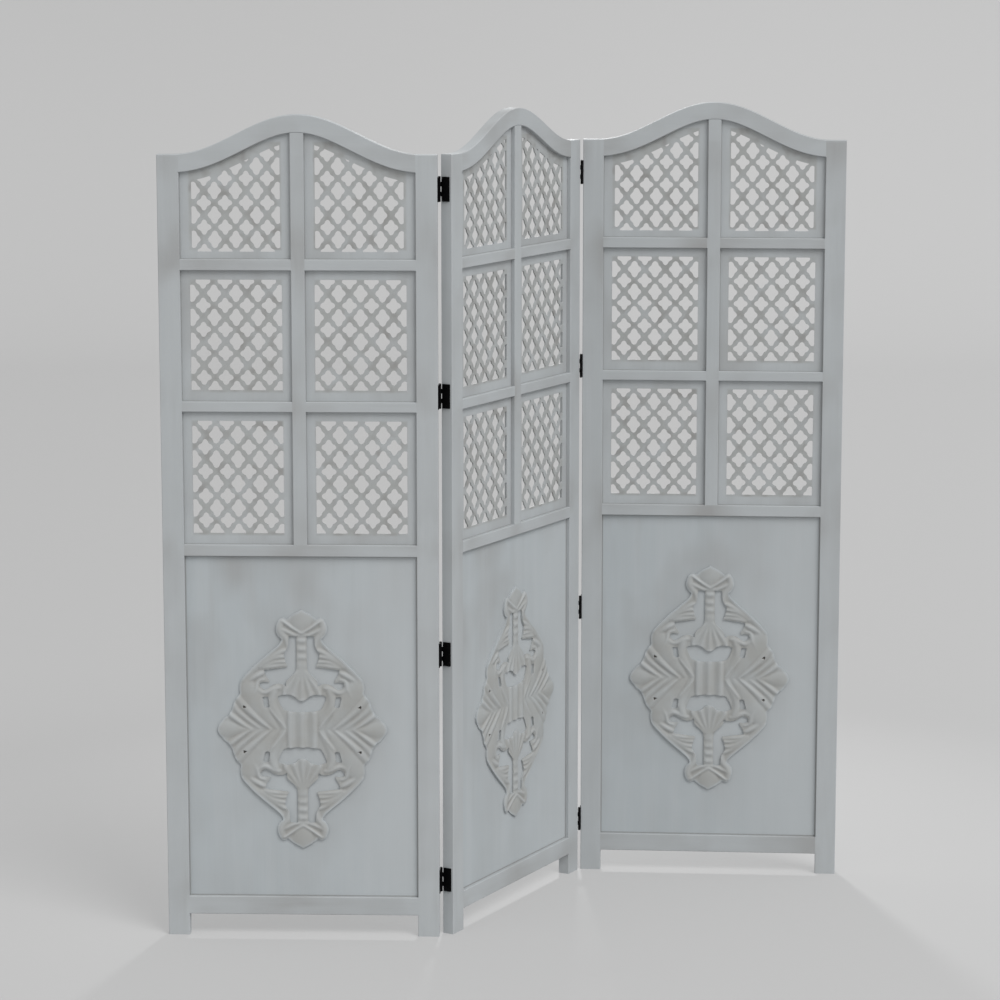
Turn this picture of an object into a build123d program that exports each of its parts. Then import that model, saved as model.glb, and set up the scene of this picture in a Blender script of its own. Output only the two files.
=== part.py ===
"""Three-leaf folding screen: jali lattices above a solid panel with a carved medallion.

Units are millimetres, +Z is up and the floor is z = 0.
Each leaf is drawn in its own frame: x runs from its left edge to its right edge as seen
from the front, y runs from its front face to its back face and z runs up from the floor.
The leaves are then turned about their hinge pins into the standing zigzag.
"""
from build123d import *
import math
import os

# ---------------------------------------------------------------- driving dimensions
# leaf as a whole
LEAF_WIDTH = 564.0
SHOULDER_HEIGHT = 1620.0        # flat shoulders at both sides of the arch
ARCH_RISE = 80.0                # crown of the arch above the shoulders
ARCH_SHOULDER_FLAT = 32.0       # straight top at each side before the arch rises
LEAF_THICKNESS = 25.0
ARRIS = 1.2                     # eased edges of the frame

# frame members
STILE_WIDTH = 44.0
MULLION_WIDTH = 28.0
TOP_RAIL_DEPTH = 36.0
FOOT_HEIGHT = 45.0
BOTTOM_RAIL_HEIGHT = 38.0
LOCK_RAIL_HEIGHT = 24.0
LOWER_OPENING_HEIGHT = 273.5
MIDDLE_RAIL_HEIGHT = 21.0
MIDDLE_OPENING_HEIGHT = 267.0
UPPER_RAIL_HEIGHT = 22.5
TOP_OPENING_HEIGHT = 174.5      # beside the stiles

# joinery
TENON_THICKNESS = 8.0
TENON_COVER = 17.0              # wood left between a mortise and the leaf's edge
MULLION_TENON_LENGTH = 12.0
MORTISE_END_GAP = 1.0
PANEL_REACH = 5.0               # how far a panel enters its groove
GROOVE_END_GAP = 1.0
GROOVE_SIDE_GAP = 0.1

# jali lattices
JALI_THICKNESS = 3.0
JALI_RECESS = 9.0
JALI_SIDE_BORDER = 19.0         # solid border round the pierced field
JALI_HEAD_BORDER = 19.3
JALI_FOOT_BORDER = 22.8
ARCHED_JALI_STILE_BORDER = 24.0
ARCHED_JALI_MULLION_BORDER = 21.0
ARCHED_JALI_HEAD_BORDER = 20.0
ARCHED_JALI_FOOT_BORDER = 14.8
COLUMN_PITCH = 44.4             # as near as whole columns allow
ROW_PITCH = 49.1                # between rows of one kind, as near as whole rows allow
COLUMN_EDGE = 4.2               # outermost column of tall openings inside the pierced field
FOOT_ROW_RISE = 1.5             # lowest row of tall openings above the foot border
HEAD_ROW_DROP = 3.2             # highest row of flowers below the head border
ARCHED_ROW_RISE = 0.2           # lowest row of flowers above the foot border
TALL_OPENING = (13.9, 1.6, 2.2)         # mean radius, upward stretch and depth of the four lobes
FLOWER_OPENING = (12.9, 0.15, 2.4)
OPENING_POINTS = 16
SMALLEST_HOLE_AREA = 20.0

# solid panel and its carving
FIELD_THICKNESS = 6.0
FIELD_RECESS = 8.5
MEDALLION_SIDE_MARGIN = 63.0    # from the side tips to the opening
MEDALLION_LOWER_MARGIN = 103.0
MEDALLION_UPPER_MARGIN = 111.5
MEDALLION_GROUND = 3.5
MEDALLION_RELIEF = 7.5

# hinges
LOWEST_HINGE_HEIGHT = 116.0
HINGE_BELOW_LOCK_RAIL = 206.5
HINGE_ABOVE_MIDDLE_RAIL = 31.0
HINGE_BELOW_SHOULDER = 70.0
HINGE_HEIGHT = 50.0
OUTER_KNUCKLES = (0, 2, 4)      # on the left and right leaves, counted from below
INNER_KNUCKLES = (1, 3)         # on the middle leaf
KNUCKLE_RADIUS = 2.7
KNUCKLE_END_GAP = 0.3
PIN_RADIUS = 1.2
PIN_CLEARANCE = 0.05
PIN_HEAD_RADIUS = 2.2
PIN_HEAD_HEIGHT = 1.0
KNUCKLE_TO_EDGE = 0.3
PIN_PROUD = 1.8                 # pin axis beyond the folding faces
PLATE_THICKNESS = 2.0
PLATE_MARGIN = 4.8              # leaf edge left bare beyond the plate
PLATE_RELIEF = 5.0              # plate cut back from the pin axis beside the other knuckles
PLATE_CORNER_RADIUS = 1.5
SCREW_END_MARGIN = 8.0
SCREW_HEAD_RADIUS = 3.4
SCREW_HEAD_HEIGHT = 1.9
SCREW_SHANK_RADIUS = 1.6
SCREW_LENGTH = 18.0
SCREW_TIP_LENGTH = 4.0
SCREW_SLOT_WIDTH = 0.9
SCREW_SLOT_LENGTH = 4.2
SCREW_SLOT_DEPTH = 0.9

# standing zigzag: turn of each leaf about +Z, in degrees
LEFT_LEAF_YAW = -1.8
MIDDLE_LEAF_YAW = 61.4
RIGHT_LEAF_YAW = -4.1

# ---------------------------------------------------------------- derived positions
CENTRE = LEAF_WIDTH / 2
ARCH_HALF_SPAN = CENTRE - ARCH_SHOULDER_FLAT
OPENING_LEFT = STILE_WIDTH
OPENING_RIGHT = LEAF_WIDTH - STILE_WIDTH
MULLION_LEFT = CENTRE - MULLION_WIDTH / 2
MULLION_RIGHT = CENTRE + MULLION_WIDTH / 2
BOTTOM_RAIL_TOP = FOOT_HEIGHT + BOTTOM_RAIL_HEIGHT
TOP_RAIL_BOTTOM = SHOULDER_HEIGHT - TOP_RAIL_DEPTH      # beside the stiles
UPPER_RAIL_TOP = TOP_RAIL_BOTTOM - TOP_OPENING_HEIGHT
UPPER_RAIL_BOTTOM = UPPER_RAIL_TOP - UPPER_RAIL_HEIGHT
MIDDLE_RAIL_TOP = UPPER_RAIL_BOTTOM - MIDDLE_OPENING_HEIGHT
MIDDLE_RAIL_BOTTOM = MIDDLE_RAIL_TOP - MIDDLE_RAIL_HEIGHT
LOCK_RAIL_TOP = MIDDLE_RAIL_BOTTOM - LOWER_OPENING_HEIGHT
LOCK_RAIL_BOTTOM = LOCK_RAIL_TOP - LOCK_RAIL_HEIGHT
CROWN_HEIGHT = SHOULDER_HEIGHT + ARCH_RISE
TENON_FRONT = (LEAF_THICKNESS - TENON_THICKNESS) / 2
TENON_BACK = TENON_FRONT + TENON_THICKNESS
TENON_LENGTH = STILE_WIDTH - TENON_COVER - MORTISE_END_GAP
GROOVE_REACH = PANEL_REACH + GROOVE_END_GAP      # tenons keep this far in from a rail's edges
JALI_BACK = JALI_RECESS + JALI_THICKNESS
FIELD_BACK = FIELD_RECESS + FIELD_THICKNESS
LAP_PLANE = JALI_BACK + GROOVE_SIDE_GAP      # the halved mullion and rails meet here
BEYOND = 5.0                    # cutters run past the wood by this much
CURVE_STEPS = 16


# ---------------------------------------------------------------- drawing helpers
def block(x0, x1, y0, y1, z0, z1):
    """Box between two corners."""
    middle = Pos((x0 + x1) / 2, (y0 + y1) / 2, (z0 + z1) / 2)
    return middle * Box(x1 - x0, y1 - y0, z1 - z0)


def slab(face, y0, y1):
    """Upright plate from a face drawn flat, its flat x and y becoming x and z."""
    return Rot(90, 0, 0) * Pos(0, 0, -y1) * extrude(face, amount=y1 - y0, dir=(0, 0, 1))


def rectangle(x0, x1, z0, z1):
    """Flat rectangle between two corners."""
    return Pos((x0 + x1) / 2, (z0 + z1) / 2) * Rectangle(x1 - x0, z1 - z0)


def upright_arris(x, y, z0, z1):
    """Square bar on its corner that eases a vertical edge."""
    side = ARRIS * math.sqrt(2)
    return Pos(x, y, (z0 + z1) / 2) * Rot(0, 0, 45) * Box(side, side, z1 - z0)


def level_arris(z, y, x0, x1):
    """Square bar on its corner that eases a horizontal edge."""
    side = ARRIS * math.sqrt(2)
    return Pos((x0 + x1) / 2, y, z) * Rot(45, 0, 0) * Box(x1 - x0, side, side)


def arch_point(x, depth):
    """Point of the arch line, moved down square to the curve by depth."""
    across = x - CENTRE
    if abs(across) >= ARCH_HALF_SPAN:
        return x, SHOULDER_HEIGHT - depth
    turn = math.pi / ARCH_HALF_SPAN
    height = SHOULDER_HEIGHT + ARCH_RISE * (1 + math.cos(turn * across)) / 2
    slope = -ARCH_RISE / 2 * turn * math.sin(turn * across)
    length = math.hypot(1, slope)
    return x + depth * slope / length, height - depth / length


def under_arch(depth):
    """Flat face of everything below the arch line moved down by depth."""
    left = CENTRE - ARCH_HALF_SPAN
    right = CENTRE + ARCH_HALF_SPAN
    stations = [left + (right - left) * step / CURVE_STEPS for step in range(CURVE_STEPS + 1)]
    points = [arch_point(x, depth) for x in stations]
    sweep = Spline(*points, tangents=[(1, 0), (1, 0)], tangent_scalars=[1, 1])
    shoulder = SHOULDER_HEIGHT - depth
    sides = Polyline(points[-1], (LEAF_WIDTH, shoulder), (LEAF_WIDTH, 0), (0, 0), (0, shoulder), points[0])
    return make_face(sweep.edges() + sides.edges())


def fused(solids):
    """One solid from several that touch."""
    return solids[0].fuse(*solids[1:]).clean() if len(solids) > 1 else solids[0]


# ---------------------------------------------------------------- panel outlines
def jali_rect(row_bottom, row_top, reach):
    """Flat outline of the left lattice between two rails, let into the frame by reach."""
    return rectangle(OPENING_LEFT - reach, MULLION_LEFT + reach, row_bottom - reach, row_top + reach)


def jali_arched(reach):
    """Flat outline of the left lattice under the arch, let into the frame by reach."""
    column = rectangle(OPENING_LEFT - reach, MULLION_LEFT + reach, UPPER_RAIL_TOP - reach, CROWN_HEIGHT)
    return column & under_arch(TOP_RAIL_DEPTH - reach)


def field_rect(reach):
    """Flat outline of the solid panel, let into the frame by reach."""
    low = BOTTOM_RAIL_TOP - reach
    high = LOCK_RAIL_BOTTOM + reach
    return rectangle(OPENING_LEFT - reach, OPENING_RIGHT + reach, low, high)


def mirrored(shape):
    """The same shape on the other side of the leaf's centre line."""
    return mirror(shape, about=Plane((CENTRE, 0, 0), x_dir=(0, 1, 0), z_dir=(1, 0, 0)))


def panel_grooves():
    """Cutters for every groove that holds a panel."""
    front = JALI_RECESS - GROOVE_SIDE_GAP
    back = JALI_BACK + GROOVE_SIDE_GAP
    lattices = [
        slab(jali_rect(LOCK_RAIL_TOP, MIDDLE_RAIL_BOTTOM, GROOVE_REACH), front, back),
        slab(jali_rect(MIDDLE_RAIL_TOP, UPPER_RAIL_BOTTOM, GROOVE_REACH), front, back),
        slab(jali_arched(GROOVE_REACH), front, back),
    ]
    field = slab(field_rect(GROOVE_REACH), FIELD_RECESS - GROOVE_SIDE_GAP, FIELD_BACK + GROOVE_SIDE_GAP)
    return lattices + [mirrored(lattice) for lattice in lattices] + [field]


# ---------------------------------------------------------------- frame members
RAILS = {
    "bottom_rail": (FOOT_HEIGHT, BOTTOM_RAIL_TOP),
    "lock_rail": (LOCK_RAIL_BOTTOM, LOCK_RAIL_TOP),
    "middle_rail": (MIDDLE_RAIL_BOTTOM, MIDDLE_RAIL_TOP),
    "upper_rail": (UPPER_RAIL_BOTTOM, UPPER_RAIL_TOP),
    "top_rail": (TOP_RAIL_BOTTOM, SHOULDER_HEIGHT),
}
OPENING_SPANS = (
    (0.0, FOOT_HEIGHT),
    (BOTTOM_RAIL_TOP, LOCK_RAIL_BOTTOM),
    (LOCK_RAIL_TOP, MIDDLE_RAIL_BOTTOM),
    (MIDDLE_RAIL_TOP, UPPER_RAIL_BOTTOM),
    (UPPER_RAIL_TOP, TOP_RAIL_BOTTOM),
)


def leaf_blank():
    """The whole leaf as one board with its outer edges eased."""
    board = slab(under_arch(0), 0, LEAF_THICKNESS)
    outer = [
        edge for edge in board.edges()
        if edge.bounding_box().size.Y < ARRIS and edge.bounding_box().max.Z > ARRIS
    ]
    return chamfer(outer, ARRIS)


def tenons(bottom, top, end_gap=0.0):
    """Both tenons of a rail, or their mortises when an end gap is given."""
    length = TENON_LENGTH + end_gap
    low = bottom + GROOVE_REACH
    high = top - GROOVE_REACH
    left = block(OPENING_LEFT - length, OPENING_LEFT, TENON_FRONT, TENON_BACK, low, high)
    right = block(OPENING_RIGHT, OPENING_RIGHT + length, TENON_FRONT, TENON_BACK, low, high)
    return left, right


def stiles(blank, grooves):
    """Left and right uprights, with mortises, grooves and eased inner edges."""
    cutters = list(grooves)
    for bottom, top in RAILS.values():
        cutters += tenons(bottom, top, MORTISE_END_GAP)
    for x in (OPENING_LEFT, OPENING_RIGHT):
        for y in (0.0, LEAF_THICKNESS):
            cutters += [upright_arris(x, y, bottom, top) for bottom, top in OPENING_SPANS]
    left = blank & block(0, STILE_WIDTH, 0, LEAF_THICKNESS, 0, CROWN_HEIGHT)
    right = blank & block(OPENING_RIGHT, LEAF_WIDTH, 0, LEAF_THICKNESS, 0, CROWN_HEIGHT)
    return left.cut(*cutters).solid(), right.cut(*cutters).solid()


def mullion_tenons(end_gap=0.0):
    """Tenons at the foot and head of the mullion, or their mortises."""
    length = MULLION_TENON_LENGTH + end_gap
    left = MULLION_LEFT + GROOVE_REACH
    right = MULLION_RIGHT - GROOVE_REACH
    head = CROWN_HEIGHT - TOP_RAIL_DEPTH
    foot = block(left, right, TENON_FRONT, TENON_BACK, LOCK_RAIL_TOP - length, LOCK_RAIL_TOP)
    top = block(left, right, TENON_FRONT, TENON_BACK, head - BEYOND, head + length)
    return foot, top


def mullion(grooves):
    """Centre upright between the lattices, halved at the back over the cross rails."""
    column = block(MULLION_LEFT, MULLION_RIGHT, 0, LEAF_THICKNESS, LOCK_RAIL_TOP, CROWN_HEIGHT)
    column = column & slab(under_arch(TOP_RAIL_DEPTH), 0, LEAF_THICKNESS)
    cutters = list(grooves)
    for rail in ("middle_rail", "upper_rail"):
        bottom, top = RAILS[rail]
        cutters.append(block(MULLION_LEFT, MULLION_RIGHT, LAP_PLANE, LEAF_THICKNESS, bottom, top))
    head = CROWN_HEIGHT - TOP_RAIL_DEPTH
    spans = OPENING_SPANS[2:4] + ((UPPER_RAIL_TOP, head),)
    for x in (MULLION_LEFT, MULLION_RIGHT):
        for y in (0.0, LEAF_THICKNESS):
            cutters += [upright_arris(x, y, bottom, top) for bottom, top in spans]
    return fused([column.cut(*cutters).solid(), *mullion_tenons()]).solid()


def straight_rail(name, grooves):
    """Straight rail with tenons, grooves and eased edges."""
    bottom, top = RAILS[name]
    bar = block(OPENING_LEFT, OPENING_RIGHT, 0, LEAF_THICKNESS, bottom, top)
    cutters = list(grooves)
    for y in (0.0, LEAF_THICKNESS):
        if name == "bottom_rail":
            runs = [(bottom, OPENING_LEFT, OPENING_RIGHT), (top, OPENING_LEFT, OPENING_RIGHT)]
        elif name == "lock_rail":
            runs = [(bottom, OPENING_LEFT, OPENING_RIGHT)]
            runs += [(top, OPENING_LEFT, MULLION_LEFT), (top, MULLION_RIGHT, OPENING_RIGHT)]
        else:
            runs = [(z, OPENING_LEFT, MULLION_LEFT) for z in (bottom, top)]
            runs += [(z, MULLION_RIGHT, OPENING_RIGHT) for z in (bottom, top)]
        cutters += [level_arris(z, y, x0, x1) for z, x0, x1 in runs]
    if name == "lock_rail":
        cutters.append(mullion_tenons(MORTISE_END_GAP)[0])
    if name in ("middle_rail", "upper_rail"):
        cutters.append(block(MULLION_LEFT, MULLION_RIGHT, 0, LAP_PLANE, bottom, top))
    return fused([bar.cut(*cutters).solid(), *tenons(bottom, top)]).solid()


def top_rail(grooves):
    """Arched rail with tenons, a mortise for the mullion and eased edges."""
    bottom, top = RAILS["top_rail"]
    band = slab(under_arch(0) - under_arch(TOP_RAIL_DEPTH), 0, LEAF_THICKNESS)
    rims = [
        edge for edge in band.edges()
        if edge.bounding_box().size.Y < ARRIS and edge.bounding_box().size.X > ARRIS
    ]
    bar = chamfer(rims, ARRIS) & block(OPENING_LEFT, OPENING_RIGHT, 0, LEAF_THICKNESS, 0, CROWN_HEIGHT)
    cutters = list(grooves) + [mullion_tenons(MORTISE_END_GAP)[1]]
    return fused([bar.cut(*cutters).solid(), *tenons(bottom, top)]).solid()


# ---------------------------------------------------------------- jali lattices
def opening(mean_radius, stretch, lobe, width_scale, height_scale):
    """Four-lobed opening about its centre, as one smooth closed curve."""
    points = []
    for number in range(OPENING_POINTS):
        turn = 2 * math.pi * number / OPENING_POINTS
        radius = mean_radius - stretch * math.cos(2 * turn) + lobe * math.cos(4 * turn)
        points.append((radius * math.cos(turn) * width_scale, radius * math.sin(turn) * height_scale))
    return make_face(Spline(*points, periodic=True).edges())


def pierced(outline, region, left, right, rows, row_pitch, first_is_tall):
    """Lattice face: tall openings and flowers in alternate rows, cut off at the border."""
    span = right - left - 2 * COLUMN_EDGE
    gaps = round(span / COLUMN_PITCH)
    pitch = span / gaps
    scales = (pitch / COLUMN_PITCH, row_pitch / ROW_PITCH)
    tall = opening(*TALL_OPENING, *scales)
    flower = opening(*FLOWER_OPENING, *scales)
    holes = []
    for number, row in enumerate(rows):
        is_tall = (number % 2 == 0) == first_is_tall
        shape = tall if is_tall else flower
        count = gaps + 1 if is_tall else gaps
        start = left + COLUMN_EDGE + (0 if is_tall else pitch / 2)
        for column in range(count):
            clipped = (Pos(start + column * pitch, row) * shape) & region
            if clipped is None:
                continue
            holes += [face.outer_wire() for face in clipped.faces() if face.area > SMALLEST_HOLE_AREA]
    return Face(outline.face().outer_wire(), holes)


def jali(row_bottom, row_top):
    """Left rectangular lattice between two rails, its rows fitted to the height."""
    left = OPENING_LEFT + JALI_SIDE_BORDER
    right = MULLION_LEFT - JALI_SIDE_BORDER
    bottom = row_bottom + JALI_FOOT_BORDER
    top = row_top - JALI_HEAD_BORDER
    first = bottom + FOOT_ROW_RISE
    last = top - HEAD_ROW_DROP
    steps = 2 * round((last - first) / ROW_PITCH - 1 / 2) + 1      # from a tall row to a flower row
    step = (last - first) / steps
    rows = [first + number * step for number in range(steps + 1)]
    outline = jali_rect(row_bottom, row_top, PANEL_REACH)
    face = pierced(outline, rectangle(left, right, bottom, top), left, right, rows, 2 * step, True)
    return slab(face, JALI_RECESS, JALI_BACK).solid()


def arched_jali():
    """Left lattice whose top follows the arch."""
    left = OPENING_LEFT + ARCHED_JALI_STILE_BORDER
    right = MULLION_LEFT - ARCHED_JALI_MULLION_BORDER
    bottom = UPPER_RAIL_TOP + ARCHED_JALI_FOOT_BORDER
    head = under_arch(TOP_RAIL_DEPTH + ARCHED_JALI_HEAD_BORDER)
    region = rectangle(left, right, bottom, CROWN_HEIGHT) & head
    first = bottom + ARCHED_ROW_RISE
    steps = math.ceil((region.bounding_box().max.Y - first) / (ROW_PITCH / 2))
    rows = [first + number * ROW_PITCH / 2 for number in range(steps + 1)]
    face = pierced(jali_arched(PANEL_REACH), region, left, right, rows, ROW_PITCH, False)
    return slab(face, JALI_RECESS, JALI_BACK).solid()


# ---------------------------------------------------------------- medallion
# one quarter of the carving about its centre, drawn 175 wide and 252 high and stretched to the panel
DRAWN_WIDTH = 175.0
DRAWN_HEIGHT = 252.0
MEDALLION_BOTTOM = BOTTOM_RAIL_TOP + MEDALLION_LOWER_MARGIN
MEDALLION_TOP = LOCK_RAIL_BOTTOM - MEDALLION_UPPER_MARGIN
STRETCH_X = (OPENING_RIGHT - OPENING_LEFT - 2 * MEDALLION_SIDE_MARGIN) / 2 / DRAWN_WIDTH
STRETCH_Z = (MEDALLION_TOP - MEDALLION_BOTTOM) / 2 / DRAWN_HEIGHT
FINIAL = ((0, DRAWN_HEIGHT), (27, 238), (43, 230), (49.5, 213), (47.5, 198), (41, 189))
LEAF_EDGE = ((41, 189), (67, 168), (94, 141), (117, 117), (127.5, 101), (129, 78))
SHELL_EDGE = ((129, 78), (141, 60), (145, 43), (152, 29), (162, 21), (171, 10), (DRAWN_WIDTH, 0))
# voids in one quarter, and the half of the cartouche that reaches the centre line
STEM_VOID = ((14, 192), (21, 184), (27, 152), (33, 140), (74, 128), (69, 102), (38, 92), (15, 119))
CARTOUCHE = ((0, 61), (14, 72), (34, 71), (45, 52), (31, 39), (0, 39))
SLIT = ((71, 69), (80, 64), (79, 50), (75, 51), (75, 62))
PIERCING = ((113, 49), (122, 47), (118, 40))
STEM = ((0, 112), (12, 112), (12, 197), (0, 197))
PALMETTE = ((0, 62), (15, 73), (33, 72), (36, 92), (13, 118), (0, 118))
BAND_HALF_WIDTH = 31.0
BAND_HALF_HEIGHT = 37.0
FLUTE_COUNT = 4
FLUTE_GROOVE_SHARE = 0.25
FAN_RAYS = ((34, 6), (171, 9), (150, 30), (121, 66), (110, 74), (34, 12))


def quarters(shape):
    """A flat shape with its mirror images in the other three quarters."""
    pair = shape + mirror(shape, about=Plane.YZ)
    return pair + mirror(pair, about=Plane.XZ)


def stretched(points):
    """Drawn points at their real size."""
    return [(x * STRETCH_X, z * STRETCH_Z) for x, z in points]


def flat_polygon(points):
    """Flat face through a closed run of drawn points."""
    return make_face(Polyline(*stretched(points), close=True).edges())


def medallion():
    """Carved centre ornament, glued to the front of the solid panel."""
    top_tip = (0, DRAWN_HEIGHT * STRETCH_Z)
    side_tip = (DRAWN_WIDTH * STRETCH_X, 0)
    outline = [Spline(*stretched(run)) for run in (FINIAL, LEAF_EDGE, SHELL_EDGE)]
    outline += [Line(side_tip, (0, 0)), Line((0, 0), top_tip)]
    ground = quarters(make_face([edge for curve in outline for edge in curve.edges()]))
    voids = [quarters(flat_polygon(shape)) for shape in (STEM_VOID, CARTOUCHE, SLIT, PIERCING)]
    half_width = BAND_HALF_WIDTH * STRETCH_X
    half_height = BAND_HALF_HEIGHT * STRETCH_Z
    raised = Rectangle(2 * half_width, 2 * half_height)
    flute = 2 * half_width / FLUTE_COUNT
    for index in range(1, FLUTE_COUNT):
        groove = Rectangle(flute * FLUTE_GROOVE_SHARE, 2 * half_height - flute)
        raised = raised - Pos(index * flute - half_width, 0) * groove
    for shape in (STEM, PALMETTE, FAN_RAYS):
        raised = raised + quarters(flat_polygon(shape))
    for void in voids:
        ground = ground - void
        raised = raised - void
    step = FIELD_RECESS - MEDALLION_GROUND
    front = FIELD_RECESS - MEDALLION_RELIEF
    body = slab(ground, step, FIELD_RECESS) + slab(raised, front, step)
    return Pos(CENTRE, 0, (MEDALLION_BOTTOM + MEDALLION_TOP) / 2) * body.clean()


# ---------------------------------------------------------------- hinges
# hinge frame: origin on the pin axis at mid height, +X towards the leaf's body,
# +Y through the leaf's thickness away from its folding face, +Z along the pin
HINGE_EDGE = KNUCKLE_RADIUS + KNUCKLE_TO_EDGE      # from the pin axis to the leaf's edge
PLATE_REACH = PIN_PROUD + LEAF_THICKNESS - PLATE_MARGIN
SCREW_ACROSS = (PLATE_RELIEF + PLATE_REACH) / 2
SCREW_OFFSET = HINGE_HEIGHT / 2 - SCREW_END_MARGIN
SCREW_OFFSETS = (-SCREW_OFFSET, 0.0, SCREW_OFFSET)
HINGE_CENTRES = (
    LOWEST_HINGE_HEIGHT,
    LOCK_RAIL_BOTTOM - HINGE_BELOW_LOCK_RAIL,
    MIDDLE_RAIL_BOTTOM + HINGE_ABOVE_MIDDLE_RAIL,
    SHOULDER_HEIGHT - HINGE_BELOW_SHOULDER,
)
KNUCKLE_PITCH = HINGE_HEIGHT / (len(OUTER_KNUCKLES) + len(INNER_KNUCKLES))


def hinge_plate(own_knuckles, end_gap):
    """Plate screwed to a leaf's edge, with the knuckles of the given numbers."""
    low = -HINGE_HEIGHT / 2
    high = HINGE_HEIGHT / 2
    inner = HINGE_EDGE - PLATE_THICKNESS
    plate = block(inner, HINGE_EDGE, PLATE_RELIEF, PLATE_REACH, low, high)
    corners = plate.edges().filter_by(Axis.X).group_by(Axis.Y)[-1]
    pieces = [fillet(corners, PLATE_CORNER_RADIUS)]
    for number in own_knuckles:
        bottom = low + number * KNUCKLE_PITCH + end_gap
        top = low + (number + 1) * KNUCKLE_PITCH - end_gap
        pieces.append(block(inner, HINGE_EDGE, 0, PLATE_RELIEF, bottom, top))
        pieces.append(Pos(0, 0, (bottom + top) / 2) * Cylinder(KNUCKLE_RADIUS, top - bottom))
    bore = Cylinder(PIN_RADIUS + PIN_CLEARANCE, HINGE_HEIGHT + 2 * BEYOND)
    return fused(pieces).cut(bore, *[screw_room(offset) for offset in SCREW_OFFSETS]).solid()


def hinge_pin():
    """Headed pin through the five knuckles."""
    shank = Cylinder(PIN_RADIUS, HINGE_HEIGHT)
    shift = HINGE_HEIGHT / 2 + PIN_HEAD_HEIGHT / 2
    heads = [Pos(0, 0, side * shift) * Cylinder(PIN_HEAD_RADIUS, PIN_HEAD_HEIGHT) for side in (-1, 1)]
    return fused([shank, *heads]).solid()


def screw_body():
    """Countersunk screw along +X, its head's face at x = 0."""
    head = Cone(SCREW_HEAD_RADIUS, SCREW_SHANK_RADIUS, SCREW_HEAD_HEIGHT)
    straight = SCREW_LENGTH - SCREW_HEAD_HEIGHT - SCREW_TIP_LENGTH
    shank = Cylinder(SCREW_SHANK_RADIUS, straight)
    tip = Cone(SCREW_SHANK_RADIUS, SCREW_SHANK_RADIUS / 4, SCREW_TIP_LENGTH)
    upright = fused([
        Pos(0, 0, SCREW_HEAD_HEIGHT / 2) * head,
        Pos(0, 0, SCREW_HEAD_HEIGHT + straight / 2) * shank,
        Pos(0, 0, SCREW_LENGTH - SCREW_TIP_LENGTH / 2) * tip,
    ])
    return Rot(0, 90, 0) * upright


def screw_room(offset):
    """Room for one screw in the plate and in the stile."""
    return Pos(HINGE_EDGE - PLATE_THICKNESS, SCREW_ACROSS, offset) * screw_body()


def hinge_screw(offset):
    """One screw with a crossed slot in its head."""
    face = Pos(HINGE_EDGE - PLATE_THICKNESS, SCREW_ACROSS, offset)
    slots = [
        face * Box(2 * SCREW_SLOT_DEPTH, SCREW_SLOT_LENGTH, SCREW_SLOT_WIDTH),
        face * Box(2 * SCREW_SLOT_DEPTH, SCREW_SLOT_WIDTH, SCREW_SLOT_LENGTH),
    ]
    return screw_room(offset).cut(*slots).solid()


def hinge_frames(edge_x, body_side, folding_face):
    """Placements of a leaf's hinges in the leaf's own frame."""
    axis_x = edge_x - body_side * HINGE_EDGE
    if folding_face == "back":
        axis_y = LEAF_THICKNESS + PIN_PROUD
        through = -1
    else:
        axis_y = -PIN_PROUD
        through = 1
    z_dir = (0, 0, body_side * through)
    planes = [Plane((axis_x, axis_y, z), x_dir=(body_side, 0, 0), z_dir=z_dir) for z in HINGE_CENTRES]
    return [Location(plane) for plane in planes]


# hinged edges: which leaf, its edge, the side of its body and the face it folds against
HINGED_EDGES = {
    ("left", "outer"): ("left", LEAF_WIDTH, -1, "back"),
    ("left", "inner"): ("middle", 0.0, 1, "back"),
    ("right", "inner"): ("middle", LEAF_WIDTH, -1, "front"),
    ("right", "outer"): ("right", 0.0, 1, "front"),
}


# ---------------------------------------------------------------- leaf placement
def turned(x, y, yaw):
    """A vector in the leaf's frame, seen in the standing frame."""
    angle = math.radians(yaw)
    return x * math.cos(angle) - y * math.sin(angle), x * math.sin(angle) + y * math.cos(angle)


def leaf_origins():
    """Floor position of each leaf's front left corner, before the screen is centred."""
    half_gap = HINGE_EDGE
    back_axis = LEAF_THICKNESS + PIN_PROUD
    left_pin = turned(LEAF_WIDTH + half_gap, back_axis, LEFT_LEAF_YAW)
    step = turned(-half_gap, back_axis, MIDDLE_LEAF_YAW)
    middle = (left_pin[0] - step[0], left_pin[1] - step[1])
    step = turned(LEAF_WIDTH + half_gap, -PIN_PROUD, MIDDLE_LEAF_YAW)
    right_pin = (middle[0] + step[0], middle[1] + step[1])
    step = turned(-half_gap, -PIN_PROUD, RIGHT_LEAF_YAW)
    right = (right_pin[0] - step[0], right_pin[1] - step[1])
    return {"left": (0.0, 0.0), "middle": middle, "right": right}, left_pin, right_pin


def centred_placements():
    """Leaf placements with the middle of the whole footprint on the origin."""
    origins, left_pin, right_pin = leaf_origins()
    yaws = {"left": LEFT_LEAF_YAW, "middle": MIDDLE_LEAF_YAW, "right": RIGHT_LEAF_YAW}
    corners = []
    for name, origin in origins.items():
        for x in (0.0, LEAF_WIDTH):
            for y in (0.0, LEAF_THICKNESS):
                across, along = turned(x, y, yaws[name])
                corners.append((origin[0] + across, origin[1] + along))
    shift_x = -(min(c[0] for c in corners) + max(c[0] for c in corners)) / 2
    shift_y = -(min(c[1] for c in corners) + max(c[1] for c in corners)) / 2
    placements = {
        name: Location((origin[0] + shift_x, origin[1] + shift_y, 0), (0, 0, yaws[name]))
        for name, origin in origins.items()
    }
    pins = [(pin[0] + shift_x, pin[1] + shift_y) for pin in (left_pin, right_pin)]
    return placements, pins


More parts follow.
